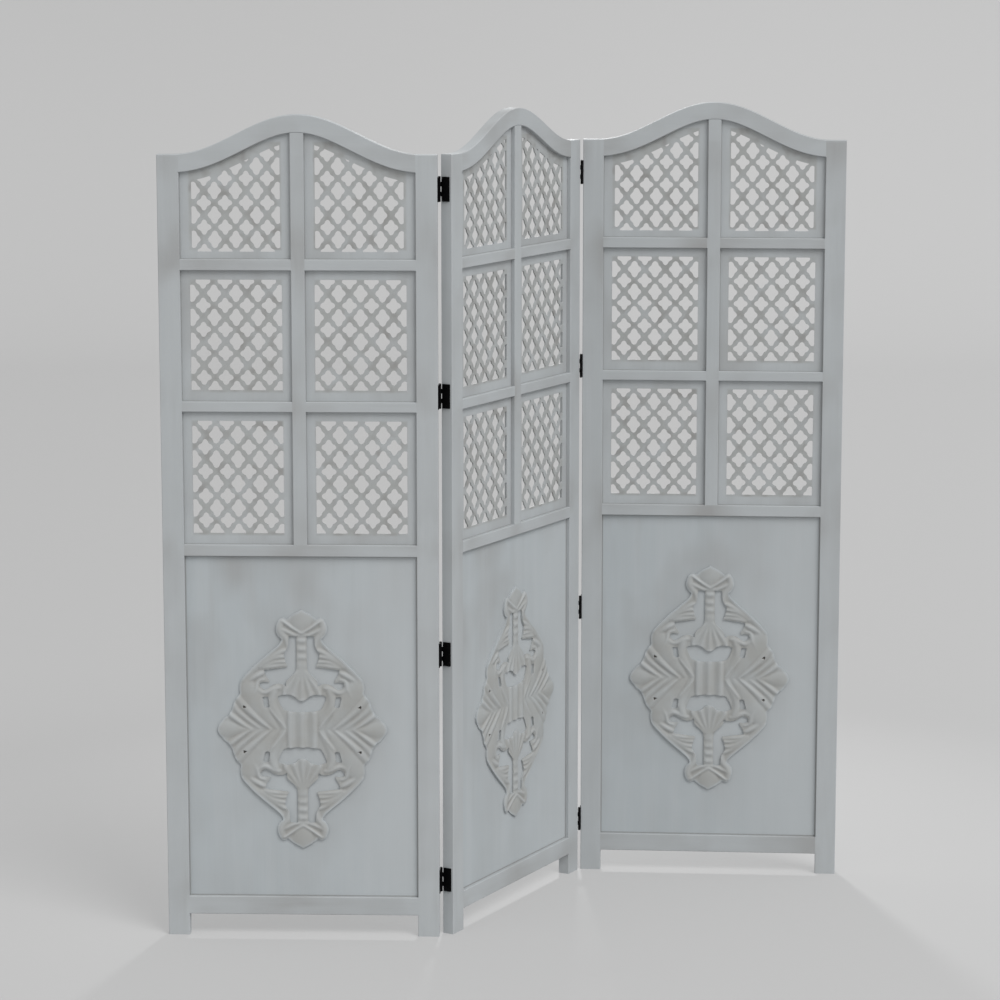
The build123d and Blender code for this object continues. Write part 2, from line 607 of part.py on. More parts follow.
def save(name, shape):
    """Write one node."""
    export_step(shape, os.path.join("parts", name + ".step"))


def main():
    os.makedirs("parts", exist_ok=True)
    placements, pins = centred_placements()
    blank = leaf_blank()
    grooves = panel_grooves()
    left_stile, right_stile = stiles(blank, grooves)
    members = {name: straight_rail(name, grooves) for name in RAILS if name != "top_rail"}
    members["top_rail"] = top_rail(grooves)
    members["mullion"] = mullion(grooves)
    lattices = {
        "jali_lower": jali(LOCK_RAIL_TOP, MIDDLE_RAIL_BOTTOM),
        "jali_middle": jali(MIDDLE_RAIL_TOP, UPPER_RAIL_BOTTOM),
        "jali_top": arched_jali(),
    }
    for name, lattice in lattices.items():
        members[name + "_left"] = lattice
        members[name + "_right"] = mirrored(lattice)
    members["field_panel"] = slab(field_rect(PANEL_REACH), FIELD_RECESS, FIELD_BACK).solid()
    members["medallion"] = medallion().solid()

    screw_holes = {"left_stile": {}, "right_stile": {}}
    screws = [hinge_screw(offset) for offset in SCREW_OFFSETS]
    rooms = [screw_room(offset) for offset in SCREW_OFFSETS]
    plates = {
        "outer": hinge_plate(OUTER_KNUCKLES, 0.0),
        "inner": hinge_plate(INNER_KNUCKLES, KNUCKLE_END_GAP),
    }
    pin = hinge_pin()
    for (joint, side), (leaf, edge_x, body_side, folding_face) in HINGED_EDGES.items():
        frames = hinge_frames(edge_x, body_side, folding_face)
        stile = "left_stile" if body_side > 0 else "right_stile"
        screw_holes[stile][leaf] = [frame * room for frame in frames for room in rooms]
        place = placements[leaf]
        placed_plates = [place * frame * plates[side] for frame in frames]
        placed_screws = [place * frame * screw for frame in frames for screw in screws]
        save(f"{joint}_hinge_plates_{leaf}_leaf", Compound(placed_plates))
        save(f"{joint}_hinge_screws_{leaf}_leaf", Compound(placed_screws))
        if side == "outer":
            save(f"{joint}_hinge_pins", Compound([place * frame * pin for frame in frames]))

    for leaf, place in placements.items():
        for name, blank_stile in (("left_stile", left_stile), ("right_stile", right_stile)):
            holes = screw_holes[name].get(leaf, [])
            drilled = blank_stile.cut(*holes).solid() if holes else blank_stile
            save(f"{leaf}_leaf_{name}", place * drilled)
        for name, member in members.items():
            save(f"{leaf}_leaf_{name}", place * member)

    for name, (x, y) in zip(("left", "right"), pins):
        print(f"{name} pin axis at x {x:.3f}, y {y:.3f}")
    for name, place in placements.items():
        x, y, _ = place.position
        print(f"{name} leaf origin at x {x:.3f}, y {y:.3f}, yaw {place.orientation.Z:.2f}")


if __name__ == "__main__":
    main()
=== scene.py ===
"""Folding jali screen: washed wood, pierced lattices, carved medallions, black hinges and a plain studio."""

import math

import bmesh
import bpy
import numpy as np
from mathutils import Matrix, Vector
from mathutils.geometry import tessellate_polygon


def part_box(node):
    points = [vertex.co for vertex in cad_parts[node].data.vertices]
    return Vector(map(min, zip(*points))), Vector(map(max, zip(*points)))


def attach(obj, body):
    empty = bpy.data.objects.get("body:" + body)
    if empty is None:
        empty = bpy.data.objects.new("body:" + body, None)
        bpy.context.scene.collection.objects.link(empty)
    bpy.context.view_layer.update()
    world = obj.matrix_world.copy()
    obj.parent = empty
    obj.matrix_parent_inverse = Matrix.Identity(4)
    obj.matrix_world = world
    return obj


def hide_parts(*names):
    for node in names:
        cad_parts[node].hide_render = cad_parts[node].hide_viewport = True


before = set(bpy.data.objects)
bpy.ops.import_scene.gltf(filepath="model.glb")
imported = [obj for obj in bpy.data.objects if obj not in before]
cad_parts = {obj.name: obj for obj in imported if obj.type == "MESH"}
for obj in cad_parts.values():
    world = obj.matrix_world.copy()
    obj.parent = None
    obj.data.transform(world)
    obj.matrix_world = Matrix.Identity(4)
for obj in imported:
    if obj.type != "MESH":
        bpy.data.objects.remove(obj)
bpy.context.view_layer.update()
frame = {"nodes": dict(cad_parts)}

bl_info = {
    "name": "Folding jali screen",
    "version": (1, 0, 0),
    "blender": (4, 5, 0),
    "location": "View3D > Sidebar > Jali screen",
    "description": "Finishes a folding screen of three leaves with jali lattices and carved medallions",
    "category": "Add Mesh",
}

MM = 0.001
LEAVES = ("left", "middle", "right")
UPRIGHT_MEMBERS = ("left_stile", "right_stile", "mullion")
LEVEL_MEMBERS = ("top_rail", "upper_rail", "middle_rail", "lock_rail", "bottom_rail")
GROOVE = 5.0  # how far a panel or lattice enters its groove, in millimetres
LATTICES = tuple(f"jali_{row}_{side}" for row in ("top", "middle", "lower") for side in ("left", "right"))


def display(red, green, blue):
    """Scene colour of a display colour given from 0 to 255."""
    return tuple((value / 255 / 12.92) if value < 11 else ((value / 255 + 0.055) / 1.055) ** 2.4
                 for value in (red, green, blue))


# ---------------- settings
def colour(name, description, red, green, blue):
    """A colour setting."""
    return bpy.props.FloatVectorProperty(
        name=name, description=description, subtype="COLOR", size=3, min=0, max=1,
        default=display(red, green, blue))


def length(name, description, millimetres):
    """A length setting."""
    return bpy.props.FloatProperty(
        name=name, description=description, unit="LENGTH", min=0, precision=5, default=millimetres * MM)


def number(name, description, value, highest=1.0):
    """A setting without a unit."""
    return bpy.props.FloatProperty(name=name, description=description, min=0, max=highest, default=value)


def angle(name, description, degrees):
    """An angle setting."""
    return bpy.props.FloatProperty(
        name=name, description=description, unit="ROTATION", default=math.radians(degrees))


class WashSettings(bpy.types.PropertyGroup):
    """Colours and depth of the lime wash."""
    frame: colour("Frame wash", "Wash of the frame and the lattices", 171, 175, 177)
    board: colour("Board wash", "Bluer wash of the solid panels", 170, 176, 179)
    # The pale wash also gives the painted highlight on the carving's ridges and walls.
    pale: colour("Pale strokes", "Wash where the brush left it thickest", 180, 184, 186)
    smudge: colour("Smudges", "Taupe glaze rubbed over the wash", 153, 154, 154)
    strand: colour("Strands", "Glazed strands of the lattices", 159, 161, 160)
    spot: colour("Spots", "Glaze gathered where strands cross", 141, 140, 138)
    carving: colour("Carving", "Glaze on the raised wood of the medallions", 158, 159, 157)
    # Crevices: dark glaze with painted shade, in the carving's hollows and along the lips of the grooves.
    crevice_glaze_and_shade: colour("Crevices", "Glaze left in the hollows of the carving", 118, 114, 109)
    # Pits: painted shadow at the bottom of the deepest cuts.
    pit: colour("Pits", "Bottom of the deepest cuts", 92, 89, 85)
    grain_depth: length("Grain depth", "Height of the brush marks and the grain", 0.22)
    roughness: number("Roughness", "Roughness of the matt wash", 0.62)


class IronSettings(bpy.types.PropertyGroup):
    """Black paint of the hinges."""
    paint: colour("Black paint", "Paint on plates, pins and screws", 6, 6, 7)
    worn: colour("Worn paint", "Paint rubbed thin", 18, 18, 20)
    roughness: number("Roughness", "Roughness of the paint", 0.5)
    specular: number("Specular level", "How much the paint mirrors", 0.08)
    screw_head: length("Screw head", "Radius of a screw's head", 3.4)
    head_height: length("Head height", "Depth of the countersunk head", 1.9)
    screw_shank: length("Screw shank", "Radius of a screw's shank", 1.6)
    screw_length: length("Screw length", "Length of a screw with its head", 18)
    tip_length: length("Tip length", "Length of the pointed end", 4)
    slot_width: length("Slot width", "Width of each arm of the crossed slot", 0.9)
    slot_length: length("Slot length", "Length of each arm of the crossed slot", 4.2)
    slot_depth: length("Slot depth", "Depth of the crossed slot", 0.9)
    turn_seed: bpy.props.IntProperty(
        name="Turn seed", description="Seed of each screw's turn", default=11)


class CarvingSettings(bpy.types.PropertyGroup):
    """Size and fineness of the carved medallions."""
    grid: length("Grid", "Spacing of the relief's points", 1.3)
    edge_drop: length("Edge drop", "Fall of the carving towards its edge", 0.5)
    rounding: length("Rounding", "Width over which an edge is rounded", 2.6)


class StudioSettings(bpy.types.PropertyGroup):
    """Floor, lamps and camera."""
    floor: colour("Floor", "Colour of the floor and the backdrop", 181, 181, 181)
    # The glow is painted light on the paper, brighter at the right end than at the left.
    left_glow: colour("Glow at the left", "Even tone of the paper at the left end", 193, 193, 193)
    right_glow: colour("Glow at the right", "Even tone of the paper at the right end", 209, 209, 209)
    glow: number("Glow", "Share of the paper's tone that is even", 0.42)
    sky: number("Sky", "Strength of the even light all round", 0.80, 5)
    sky_seen: number("Sky seen", "Strength of the even light as the camera sees it", 0.52, 5)
    key: number("Key lamp", "Strength of the lamp at the front right", 1.55, 20)
    key_azimuth: angle("Key azimuth", "Angle of the key lamp to the camera's right", 38)
    key_elevation: angle("Key elevation", "Height of the key lamp above the floor", 47)
    key_softness: angle("Key softness", "Width of the key lamp as seen from the screen", 30)
    back: number("Back lamp", "Power of the lamp behind the screen in watts", 7.2, 100)
    back_distance: length("Back distance", "Distance of the back lamp behind the middle", 2600)
    back_side: length("Back side step", "Place of the back lamp to the middle's right", 120)
    back_height: length("Back height", "Height of the back lamp above the floor", 2500)
    back_size: length("Back size", "Width of the back lamp", 300)
    back_spread: angle("Back spread", "Width of the back lamp's beam", 64)
    camera_height: length("Camera height", "Height of the camera above the floor", 2062.8)
    camera_distance: length("Camera distance", "Distance of the camera in front of the middle", 7048.2)
    camera_side: length("Camera side step", "Place of the camera to the middle's left", 27.0)
    camera_tilt: angle("Camera tilt", "How far the camera looks down", 9.5655)
    focal_length: number("Focal length", "Lens of the camera in millimetres", 121.69, 500)


# ---------------- leaves
class Leaf:
    """Where one leaf stands: X along it, Y from its front to its back, Z up, in metres."""

    def __init__(self, name):
        self.name = name
        self.body = f"{name}_leaf"
        self.number = LEAVES.index(name)
        left_low, left_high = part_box(f"{self.body}_left_stile")
        right_low, right_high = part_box(f"{self.body}_right_stile")
        along = right_low + right_high - left_low - left_high
        self.yaw = math.atan2(along.y, along.x)
        turn = Matrix.Rotation(self.yaw, 4, "Z")
        corner = self.measured(f"{self.body}_left_stile", turn.inverted())[0]
        self.matrix = turn @ Matrix.Translation((corner.x, corner.y, 0))

    def measured(self, node, to_leaf=None):
        """Lowest and highest corner of a node in the leaf's own frame."""
        to_leaf = to_leaf or self.matrix.inverted()
        points = [to_leaf @ vertex.co for vertex in frame["nodes"][node].data.vertices]
        low = Vector(min(point[axis] for point in points) for axis in range(3))
        high = Vector(max(point[axis] for point in points) for axis in range(3))
        return low, high

    def node(self, member):
        """Name of one of the leaf's nodes."""
        return f"{self.body}_{member}"

    def box(self, member):
        """Lowest and highest corner of one of the leaf's nodes."""
        return self.measured(self.node(member))


def all_leaves():
    """The three leaves, from left to right."""
    return [Leaf(name) for name in LEAVES]


# ---------------- nodes
class Signal:
    """A node's output; arithmetic on it adds Math nodes."""

    def __init__(self, maker, socket):
        self.maker = maker
        self.socket = socket

    def __add__(self, other):
        return self.maker.math("ADD", self, other)

    def __sub__(self, other):
        return self.maker.math("SUBTRACT", self, other)

    def __rsub__(self, other):
        return self.maker.math("SUBTRACT", other, self)

    def __truediv__(self, other):
        return self.maker.math("DIVIDE", self, other)

    def __mul__(self, other):
        return self.maker.math("MULTIPLY", self, other)

    __radd__ = __add__
    __rmul__ = __mul__


class NodeMaker:
    """A node tree and the one method that adds to it."""
    prefix = ""
    math_kind = "ShaderNodeMath"
    tree = None

    def node(self, kind, inputs=None, output=0, **settings):
        """Add a node: its settings first, then the values or links of its sockets."""
        made = self.tree.nodes.new(self.prefix + kind)
        for key, value in settings.items():
            if key == "stops":
                self.set_stops(made.color_ramp, value)
            elif key == "choices":
                while len(made.index_switch_items) < value:
                    made.index_switch_items.new()
            else:
                setattr(made, key, value)
        for key, value in (inputs or {}).items():
            for item in value if isinstance(value, list) else [value]:
                if isinstance(item, Signal):
                    self.tree.links.new(item.socket, made.inputs[key])
                else:
                    made.inputs[key].default_value = item
        return Signal(self, made.outputs[output]) if made.outputs else None

    @staticmethod
    def set_stops(ramp, stops):
        """Give a colour ramp its stops, as (position, grey level)."""
        while len(ramp.elements) < len(stops):
            ramp.elements.new(0.5)
        for element, (position, level) in zip(ramp.elements, stops):
            element.position = position
            element.color = (level, level, level, 1)

    def math(self, operation, first, second):
        """A Math node."""
        return self.node(self.math_kind, {0: first, 1: second}, operation=operation)


class Finish(NodeMaker):
    """The shader nodes of one material or world."""
    prefix = "ShaderNode"
    math_kind = "Math"

    def __init__(self, owner):
        self.owner = owner
        owner.use_nodes = True
        self.tree = owner.node_tree
        self.tree.nodes.clear()

    def mix(self, factor, first, second, blend="MIX"):
        """A Mix node between two colours."""
        first, second = (value if isinstance(value, Signal) else (*value, 1) for value in (first, second))
        return self.node("Mix", {0: factor, 6: first, 7: second}, 2,
                         data_type="RGBA", blend_type=blend, clamp_result=False)

    def ramp(self, value, *stops):
        """A value shaped by the stops of a ramp."""
        return self.node("ValToRGB", {0: value}, stops=stops)

    def noise(self, vector, scale, detail, roughness=0.5):
        """Noise whose scale is given for each axis, in waves per metre."""
        stretched = self.node("Mapping", {"Vector": vector, "Scale": scale})
        return self.node("TexNoise", {
            "Vector": stretched, "Scale": 1, "Detail": detail, "Roughness": roughness})

    def part(self, vector, axis):
        """A vector's part along X, Y or Z, numbered from 0."""
        return self.node("SeparateXYZ", {0: vector}, axis)

    def surface(self, base, roughness, normal, specular=0.35):
        """Finish the material with a Principled shader."""
        shader = self.node("BsdfPrincipled", {
            "Base Color": base, "Roughness": roughness, "Normal": normal, "Specular IOR Level": specular})
        self.node("OutputMaterial", {"Surface": shader})
        return self.owner


# ---------------- washed wood
# Waves per metre across and along the grain.
STROKE_WAVES = (34, 2.0)
CLOUD_WAVES = (9.0, 6.0)
THIN_WAVES = (48, 5.0)
FIBRE_WAVES = (420, 9)
# Waves per metre along a leaf, through it and up it.
MOTTLE_WAVES = (22, 22, 22)
SPOT_WAVES = (38, 38, 38)
HAZE_WAVES = (11, 11, 7)
RUB_WAVES = (17, 17, 17)
WEAR_WAVES = (160, 160, 160)
GRIT_WAVES = (1500, 1500, 1500)
THIN_SHARE = 0.25  # strength of the thin smudges beside the clouds
FIBRE_DARKEST = 0.98  # tone of the darkest fibres, as a share of the wash
FIBRE_RANGE = 0.04  # how much paler the palest fibres are
STROKE_RELIEF = 0.35  # share of the brush marks in the bump; the rest is the fibres'
# How far the pattern is shifted for each wood, lattice and leaf, in metres.
SEEDS = {"upright": 0.0, "level": 1.7, "carving": 3.3, "board": 6.1, "lattice": 9.4}
SIDE_SHARE = 0.37  # share of a wood's shift that goes through the leaf too
LATTICE_SHIFT = 0.6
LEAF_SHIFT = 5.1
# Strength of the smudges where there is no joint near, and what a joint adds within its reach.
EVEN_SMUDGE = {"upright": 0.3, "level": 0.5, "carving": 0.4, "lattice": 0.55}
JOINT_SMUDGE = 0.6
JOINT_REACH = {"upright": 100 * MM, "level": 80 * MM}
# The board is smudged more towards its left than its right, so it is darker at the left.
LEFT_SMUDGE = 0.85  # strength of the smudges at the left of a board
SMUDGE_FALL = 0.5  # how much weaker they are at its right
# Millimetres from the lip of a groove where a mask starts and stops fading; the lip shades paint shade along
# the recess.
LATTICE_BORDER = (16, 22)
LATTICE_LIP_SHADE = (0.4, 2.2)
BOARD_LIP_SHADE = (0.8, 3.5)
HAZE_DEPTH = (1, 2)  # the same for the haze, from the face of the board inwards


class WashedWood(Finish):
    """Lime wash on the wood of one leaf: brushed on along the grain and glazed in smudges."""

    def __init__(self, name, leaf, wash, grain="upright"):
        super().__init__(bpy.data.materials.new(f"{leaf.name}_{name}"))
        self.leaf = leaf
        self.wash = wash
        self.grain = grain
        self.base = self.height = None
        inverse = leaf.matrix.inverted()
        self.place = self.node("Mapping", {
            "Vector": self.node("TexCoord", output="Object"),
            "Location": inverse.to_translation(), "Rotation": inverse.to_euler()})

    def grain_noise(self, place, waves, detail, roughness=0.5):
        """Noise that runs along the grain."""
        across, along = waves
        scale = (across, across, along) if self.grain == "upright" else (along, across, across)
        return self.noise(place, scale, detail, roughness)

    def brush(self, body, seed, smudged):
        """Brush the wash on, and smudge it."""
        shift = (seed, SIDE_SHARE * seed + self.leaf.number * LEAF_SHIFT, -seed)
        place = self.node("Mapping", {"Vector": self.place, "Location": shift})
        strokes = self.grain_noise(place, STROKE_WAVES, 3)
        clouds = self.ramp(self.grain_noise(place, CLOUD_WAVES, 2, 0.45), (0.44, 0), (0.72, 1))
        thin = self.ramp(self.grain_noise(place, THIN_WAVES, 2), (0.52, 0), (0.74, 1))
        fibres = self.grain_noise(place, FIBRE_WAVES, 2)
        self.base = body
        self.glaze(self.ramp(strokes, (0.42, 0), (0.70, 1)), self.wash.pale, strength=0.3)
        self.glaze((clouds + thin * THIN_SHARE) * smudged, self.wash.smudge)
        self.base = self.mix(1.0, self.base, FIBRE_DARKEST + fibres * FIBRE_RANGE, "MULTIPLY")
        self.height = strokes * STROKE_RELIEF + fibres * (1 - STROKE_RELIEF)

    def glaze(self, mask, tone, strength=1):
        """Lay a colour over what is there: a glaze, and in some places painted light and shade."""
        self.base = self.mix(mask if strength == 1 else mask * strength, self.base, tone)

    def finished(self):
        """End in the matt wash, with the bump of the brush marks and the grain."""
        bump = self.node("Bump", {"Strength": 0.5, "Distance": self.wash.grain_depth, "Height": self.height})
        return self.surface(self.base, self.wash.roughness, bump)

    def near_joints(self):
        """How near a place is to where members of the frame meet, from 0 to 1."""
        axis, members = (2, LEVEL_MEMBERS) if self.grain == "upright" else (0, UPRIGHT_MEMBERS)
        reach = JOINT_REACH[self.grain]
        span = self.leaf.box("right_stile")[1][axis]
        boxes = [self.leaf.box(member) for member in members]
        stops = []
        for middle in sorted((low[axis] + high[axis]) / 2 for low, high in boxes):
            stops += [((middle - reach) / span, 0), (middle / span, 1), ((middle + reach) / span, 0)]
        stops = [(min(max(position, 0), 1), level) for position, level in stops]
        return self.ramp(self.part(self.place, axis) / span, *stops)

    def from_middle(self, low, high):
        """Distance of a place from the middle of a box, sideways and upwards."""
        apart = self.node("VectorMath", {0: self.place, 1: (low + high) / 2}, operation="SUBTRACT")
        away = self.node("VectorMath", {0: apart}, operation="ABSOLUTE")
        return self.part(away, 0), self.part(away, 2)

    def inset(self, low, high):
        """Distance of a place from the nearest side of a box."""
        half = (high - low) / 2
        sideways, upwards = self.from_middle(low, high)
        return self.math("MINIMUM", half.x - sideways, half.z - upwards)

    def fading(self, value, start, end):
        """A mask that is 1 up to the start and 0 from the end on, both in millimetres."""
        return self.node("MapRange", {
            "Value": value, "From Min": start * MM, "From Max": end * MM, "To Min": 1.0, "To Max": 0.0,
        }, interpolation_type="SMOOTHSTEP")

    def near_lip(self, inset, start, end):
        """A mask along the lip of the grooves, in which the sides of a board or a lattice lie."""
        return self.fading(inset, GROOVE + start, GROOVE + end)


def frame_material(leaf, grain, wash):
    """Lime-washed wood of the frame, smudged most around its joints."""
    wood = WashedWood(f"{grain}_wood", leaf, wash, grain)
    wood.brush(wash.frame, SEEDS[grain], EVEN_SMUDGE[grain] + wood.near_joints() * JOINT_SMUDGE)
    return wood.finished()


def lattice_material(leaf, number, wash):
    """Washed lattice: its strands keep a taupe glaze, which gathers in scattered spots."""
    wood = WashedWood(f"{LATTICES[number]}_wash", leaf, wash)
    wood.brush(wash.frame, SEEDS["lattice"] + LATTICE_SHIFT * number, EVEN_SMUDGE["lattice"])
    inset = wood.inset(*leaf.box(LATTICES[number]))
    strands = 1 - wood.near_lip(inset, *LATTICE_BORDER)
    mottled = wood.noise(wood.place, MOTTLE_WAVES, 1)
    spots = wood.noise(wood.place, SPOT_WAVES, 1)
    wood.glaze(strands * wood.ramp(mottled, (0.30, 0.35), (0.60, 1)), wash.strand)
    wood.glaze(strands * wood.ramp(spots, (0.52, 0), (0.86, 1)), wash.spot)
    # Painted shade along the recess where the lattice enters its groove.
    wood.glaze(wood.near_lip(inset, *LATTICE_LIP_SHADE), wash.crevice_glaze_and_shade, strength=0.4)
    return wood.finished()


def board_material(leaf, wash):
    """Washed board: darker towards its top and its left, paler towards its right and behind the carving, with
    painted shade along its recess and a glazed haze around the carving.
    """
    wood = WashedWood("board", leaf, wash)
    low, high = leaf.box("field_panel")
    across = wood.part(wood.place, 0) / high.x
    depth = wood.part(wood.place, 1) - low.y
    rise = wood.part(wood.place, 2) / high.z
    upper = wood.ramp(rise, (0.55, 0.35), (0.95, 1.0))
    wood.brush(wash.board, SEEDS["board"], upper * (LEFT_SMUDGE - across * SMUDGE_FALL))
    # Paler towards the right of the board.
    wood.glaze(wood.ramp(across, (0.5, 0), (0.95, 0.5)), wash.pale)
    low_carving, high_carving = leaf.box("medallion")
    half = (high_carving - low_carving) / 2
    sideways, upwards = wood.from_middle(low_carving, high_carving)
    around = sideways / half.x + upwards / half.z
    front = wood.fading(depth, *HAZE_DEPTH)
    # A ramp ends at 1, so the haze, which reaches farther, takes half the distance.
    haze = wood.ramp(around * 0.5, (0.45, 0.36), (0.75, 0)) * front
    behind = wood.ramp(around, (0.80, 1), (0.95, 0)) * front
    patchy = wood.noise(wood.place, HAZE_WAVES, 2)
    wood.glaze(haze * wood.ramp(patchy, (0.35, 0), (0.62, 1)), wash.smudge)
    # Paler on the board's face within the carving.
    wood.glaze(behind, wash.pale, strength=0.3)
    # Painted shade along the recess where the board enters its groove.
    wood.glaze(wood.near_lip(wood.inset(low, high), *BOARD_LIP_SHADE), wash.crevice_glaze_and_shade, strength=0.6)
    return wood.finished()


def carving_material(leaf, wash):
    """Glazed carving: pale on its ridges, partly worn and partly painted highlight; dark with glaze and
    painted shade in its hollows; painted shadow in its deepest cuts.
    """
    wood = WashedWood("carving", leaf, wash)
    wood.brush(wash.board, SEEDS["carving"], EVEN_SMUDGE["carving"])
    hollow, ridge, glazed = (wood.node("Attribute", output="Fac", attribute_name=name) for name in WALL_TONES)
    patchy = wood.noise(wood.place, RUB_WAVES, 2)
    wood.glaze(glazed * wood.ramp(patchy, (0.36, 0.6), (0.62, 1)), wash.carving)
    # Pale on the ridges: partly worn glaze, partly painted highlight.
    wood.glaze(ridge * glazed, wash.pale, strength=0.5)
    # Dark glaze and painted shade in the carving's hollows.
    wood.glaze(wood.node("Clamp", {0: hollow}), wash.crevice_glaze_and_shade, strength=0.7)
    # Painted shadow in the deepest cuts.
    wood.glaze(wood.node("Clamp", {0: hollow - 1}), wash.pit)
    return wood.finished()


WORN_SHARE = 0.5  # how far the worn paint comes through where it is rubbed thin
WORN_ROUGHNESS = 0.12  # how much rougher it is there


def iron_material(iron):
    """Black paint on the hinges, rubbed thin in places."""
    paint = Finish(bpy.data.materials.new("black_paint"))
    place = paint.node("TexCoord", output="Object")
    rubbed = paint.ramp(paint.noise(place, WEAR_WAVES, 4), (0.55, 0), (0.75, 1))
    base = paint.mix(rubbed * WORN_SHARE, iron.paint, iron.worn)
    grit = paint.noise(place, GRIT_WAVES, 2)
    bump = paint.node("Bump", {"Strength": 0.4, "Distance": 0.1 * MM, "Height": grit})
    return paint.surface(base, iron.roughness + rubbed * WORN_ROUGHNESS, bump, iron.specular)


def dress(node_name, material):
    """Give a CAD node one material."""
    slots = frame["nodes"][node_name].material_slots
    for slot in slots:
        slot.material = material
    if not slots:
        raise RuntimeError(f"{node_name} has no material slot")


# ---------------- carved medallion
# One quarter of the carving about its centre, x outwards and z upwards, in millimetres.
OUTLINE = (
    (0, 252), (6, 248), (16, 243), (25, 237), (31, 232), (38, 235), (44, 233), (49, 226), (52, 217),
    (52.5, 208), (50, 200), (46, 195), (41.5, 191), (43, 185), (49, 177), (59, 168), (71, 158), (84, 147),
    (97, 135), (109, 123), (119, 112), (125.5, 103), (128.5, 93), (129, 84), (128, 76), (133, 69),
    (139, 61), (142, 52), (145, 43), (149, 35), (153, 29), (160, 25), (166, 17), (172, 9), (175, 0),
)
VOIDS = {
    "beside the stem": ((10.5, 197), (25, 196.5), (27, 188), (28, 176), (33, 166), (37, 160), (35.5, 150),
        (33, 141), (30, 132.5), (42, 130.5), (55, 128.5), (66, 127), (77, 125), (75, 115), (69, 106),
        (67.5, 99.5), (75, 100), (84, 99), (87.5, 95), (85, 89), (76, 84), (68, 88), (60, 93.5), (50, 96.5),
        (40, 95.5), (33, 92), (32, 102), (26, 109), (18, 116), (12, 125), (10.5, 140), (10.5, 170)),
    "cartouche": ((-1, 61), (5, 62), (10, 65), (17, 71), (30, 74.5), (44, 72), (50, 68), (47, 58),
        (41.5, 47), (33, 40), (-1, 38.5)),
    "slit": ((69.5, 68.5), (81, 68.5), (79.5, 58), (76.5, 47.5), (67.5, 47.5), (68, 58)),
}
# Small deep cuts, painted dark as their shadow.
PITS = {
    "eye": ((115.5, 46.5), (121, 50.5), (121.5, 45)),
}
# Each raised stroke: (x, z, half width, height above the board).
STROKES = {
    "finial_drop": ((0, 208, 2, 5.5), (0, 216, 11, 6), (0, 227, 22, 6.2), (0, 237, 20, 5.8), (0, 246, 9, 5),
        (0, 251, 3, 4)),
    "finial_collar": ((39, 229, 3.2, 7), (28, 221, 3.6, 7.2), (14, 211, 3.6, 7.2), (0, 203, 4, 7.2)),
    "finial_under": ((47, 215, 4, 6), (34, 208, 4.5, 6), (18, 201, 4.2, 5.8), (0, 197, 3, 5.4)),
    "finial_lobe": ((43, 226, 7, 5.6), (45, 213, 8, 6.4), (41, 202, 7.5, 6.2), (33, 192, 7, 5.8),
        (29, 180, 6, 5.4), (30, 170, 4, 5)),
    "rim": ((43, 192, 5, 5.2), (49, 179, 7, 5.6), (61, 166, 7.5, 5.8), (77, 151, 8.5, 5.8),
        (96, 133, 9.5, 5.8), (112, 116, 9.5, 5.6), (120, 103, 7, 5.2)),
    "finger_a": ((29, 170, 3, 5.2), (40, 165, 5.5, 6.2), (54, 157, 6, 6.2), (70, 146, 6, 6),
        (86, 133, 6, 5.6)),
    "finger_b": ((35, 154, 4, 5.6), (46, 153, 5.5, 6.6), (60, 149, 5.5, 6.4), (74, 141, 5, 6),
        (86, 131, 4, 5.4)),
    "finger_c": ((33, 143, 4, 5.4), (46, 143, 4.5, 6.2), (60, 140.5, 4.5, 6.2), (74, 134, 4.5, 5.8)),
    "finger_d": ((31, 136, 3, 4.8), (42, 135.5, 3.5, 5.2), (55, 134, 4.5, 6.4), (68, 132, 4.5, 6.4),
        (79, 130, 3.5, 5.6)),
    "thumb": ((78, 121, 4, 5), (86, 117, 6, 6.6), (97, 111, 6.5, 6.6), (108, 104, 5, 5.8)),
    "big_leaf": ((52, 2, 4, 4.4), (68, 22, 12, 5.2), (86, 48, 19, 5.8), (102, 74, 23, 6.2),
        (111, 92, 16, 6), (108, 101, 7, 5.2)),
    "big_leaf_lip": ((91, 98, 3, 6.4), (94, 86, 5, 7), (99, 75, 4.5, 6.9), (105, 63, 2.5, 6.2)),
    "curl": ((47, 88, 4.5, 5.6), (58, 86, 5.5, 6.4), (70, 80, 5.5, 6.4), (80, 78, 5, 6.2), (90, 84, 4.5, 6),
        (94, 94, 4, 6), (88, 103, 3.5, 5.8), (78, 106, 3, 5.4)),
    "inner_scroll": ((52, 90, 5, 5.2), (57, 81, 8, 6.4), (61, 68, 9, 6.2), (61, 52, 9.5, 6),
        (54, 34, 9.5, 5.6), (44, 16, 8, 5.2), (38, 2, 6, 4.8)),
    "inner_lip": ((67, 46, 2.5, 6.2), (62, 38, 4, 6.9), (52, 25, 3.6, 6.7), (42, 13, 3.2, 6.4),
        (35, 3, 2.5, 5.6)),
    "ray_c": ((64, 0, 2.5, 5), (78, 11, 5, 6.2), (92, 23, 6.5, 6.8), (106, 36, 8, 7), (119, 50, 9.5, 6.4),
        (130, 63, 8, 5.4)),
    "ray_b": ((88, 2, 2, 4.6), (104, 14, 4.5, 5.4), (120, 27, 5.5, 5.6), (134, 40, 6.5, 5.4),
        (140, 50, 6, 5)),
    "ray_a": ((104, 0, 2, 5.2), (118, 8, 4.5, 6.2), (132, 18, 6, 6.8), (145, 28, 6.5, 6.6),
        (150, 32, 4.5, 5.6)),
    "tip": ((110, 0, 2, 4.8), (130, 0, 9, 5.4), (148, 0, 17, 5.6), (163, 0, 17, 5.4), (171, 0, 8, 4.6)),
}
DRAWN_WIDTH = 175.0
DRAWN_HEIGHT = 252.0
GROUND = 3.4  # height of the carving's ground above the board
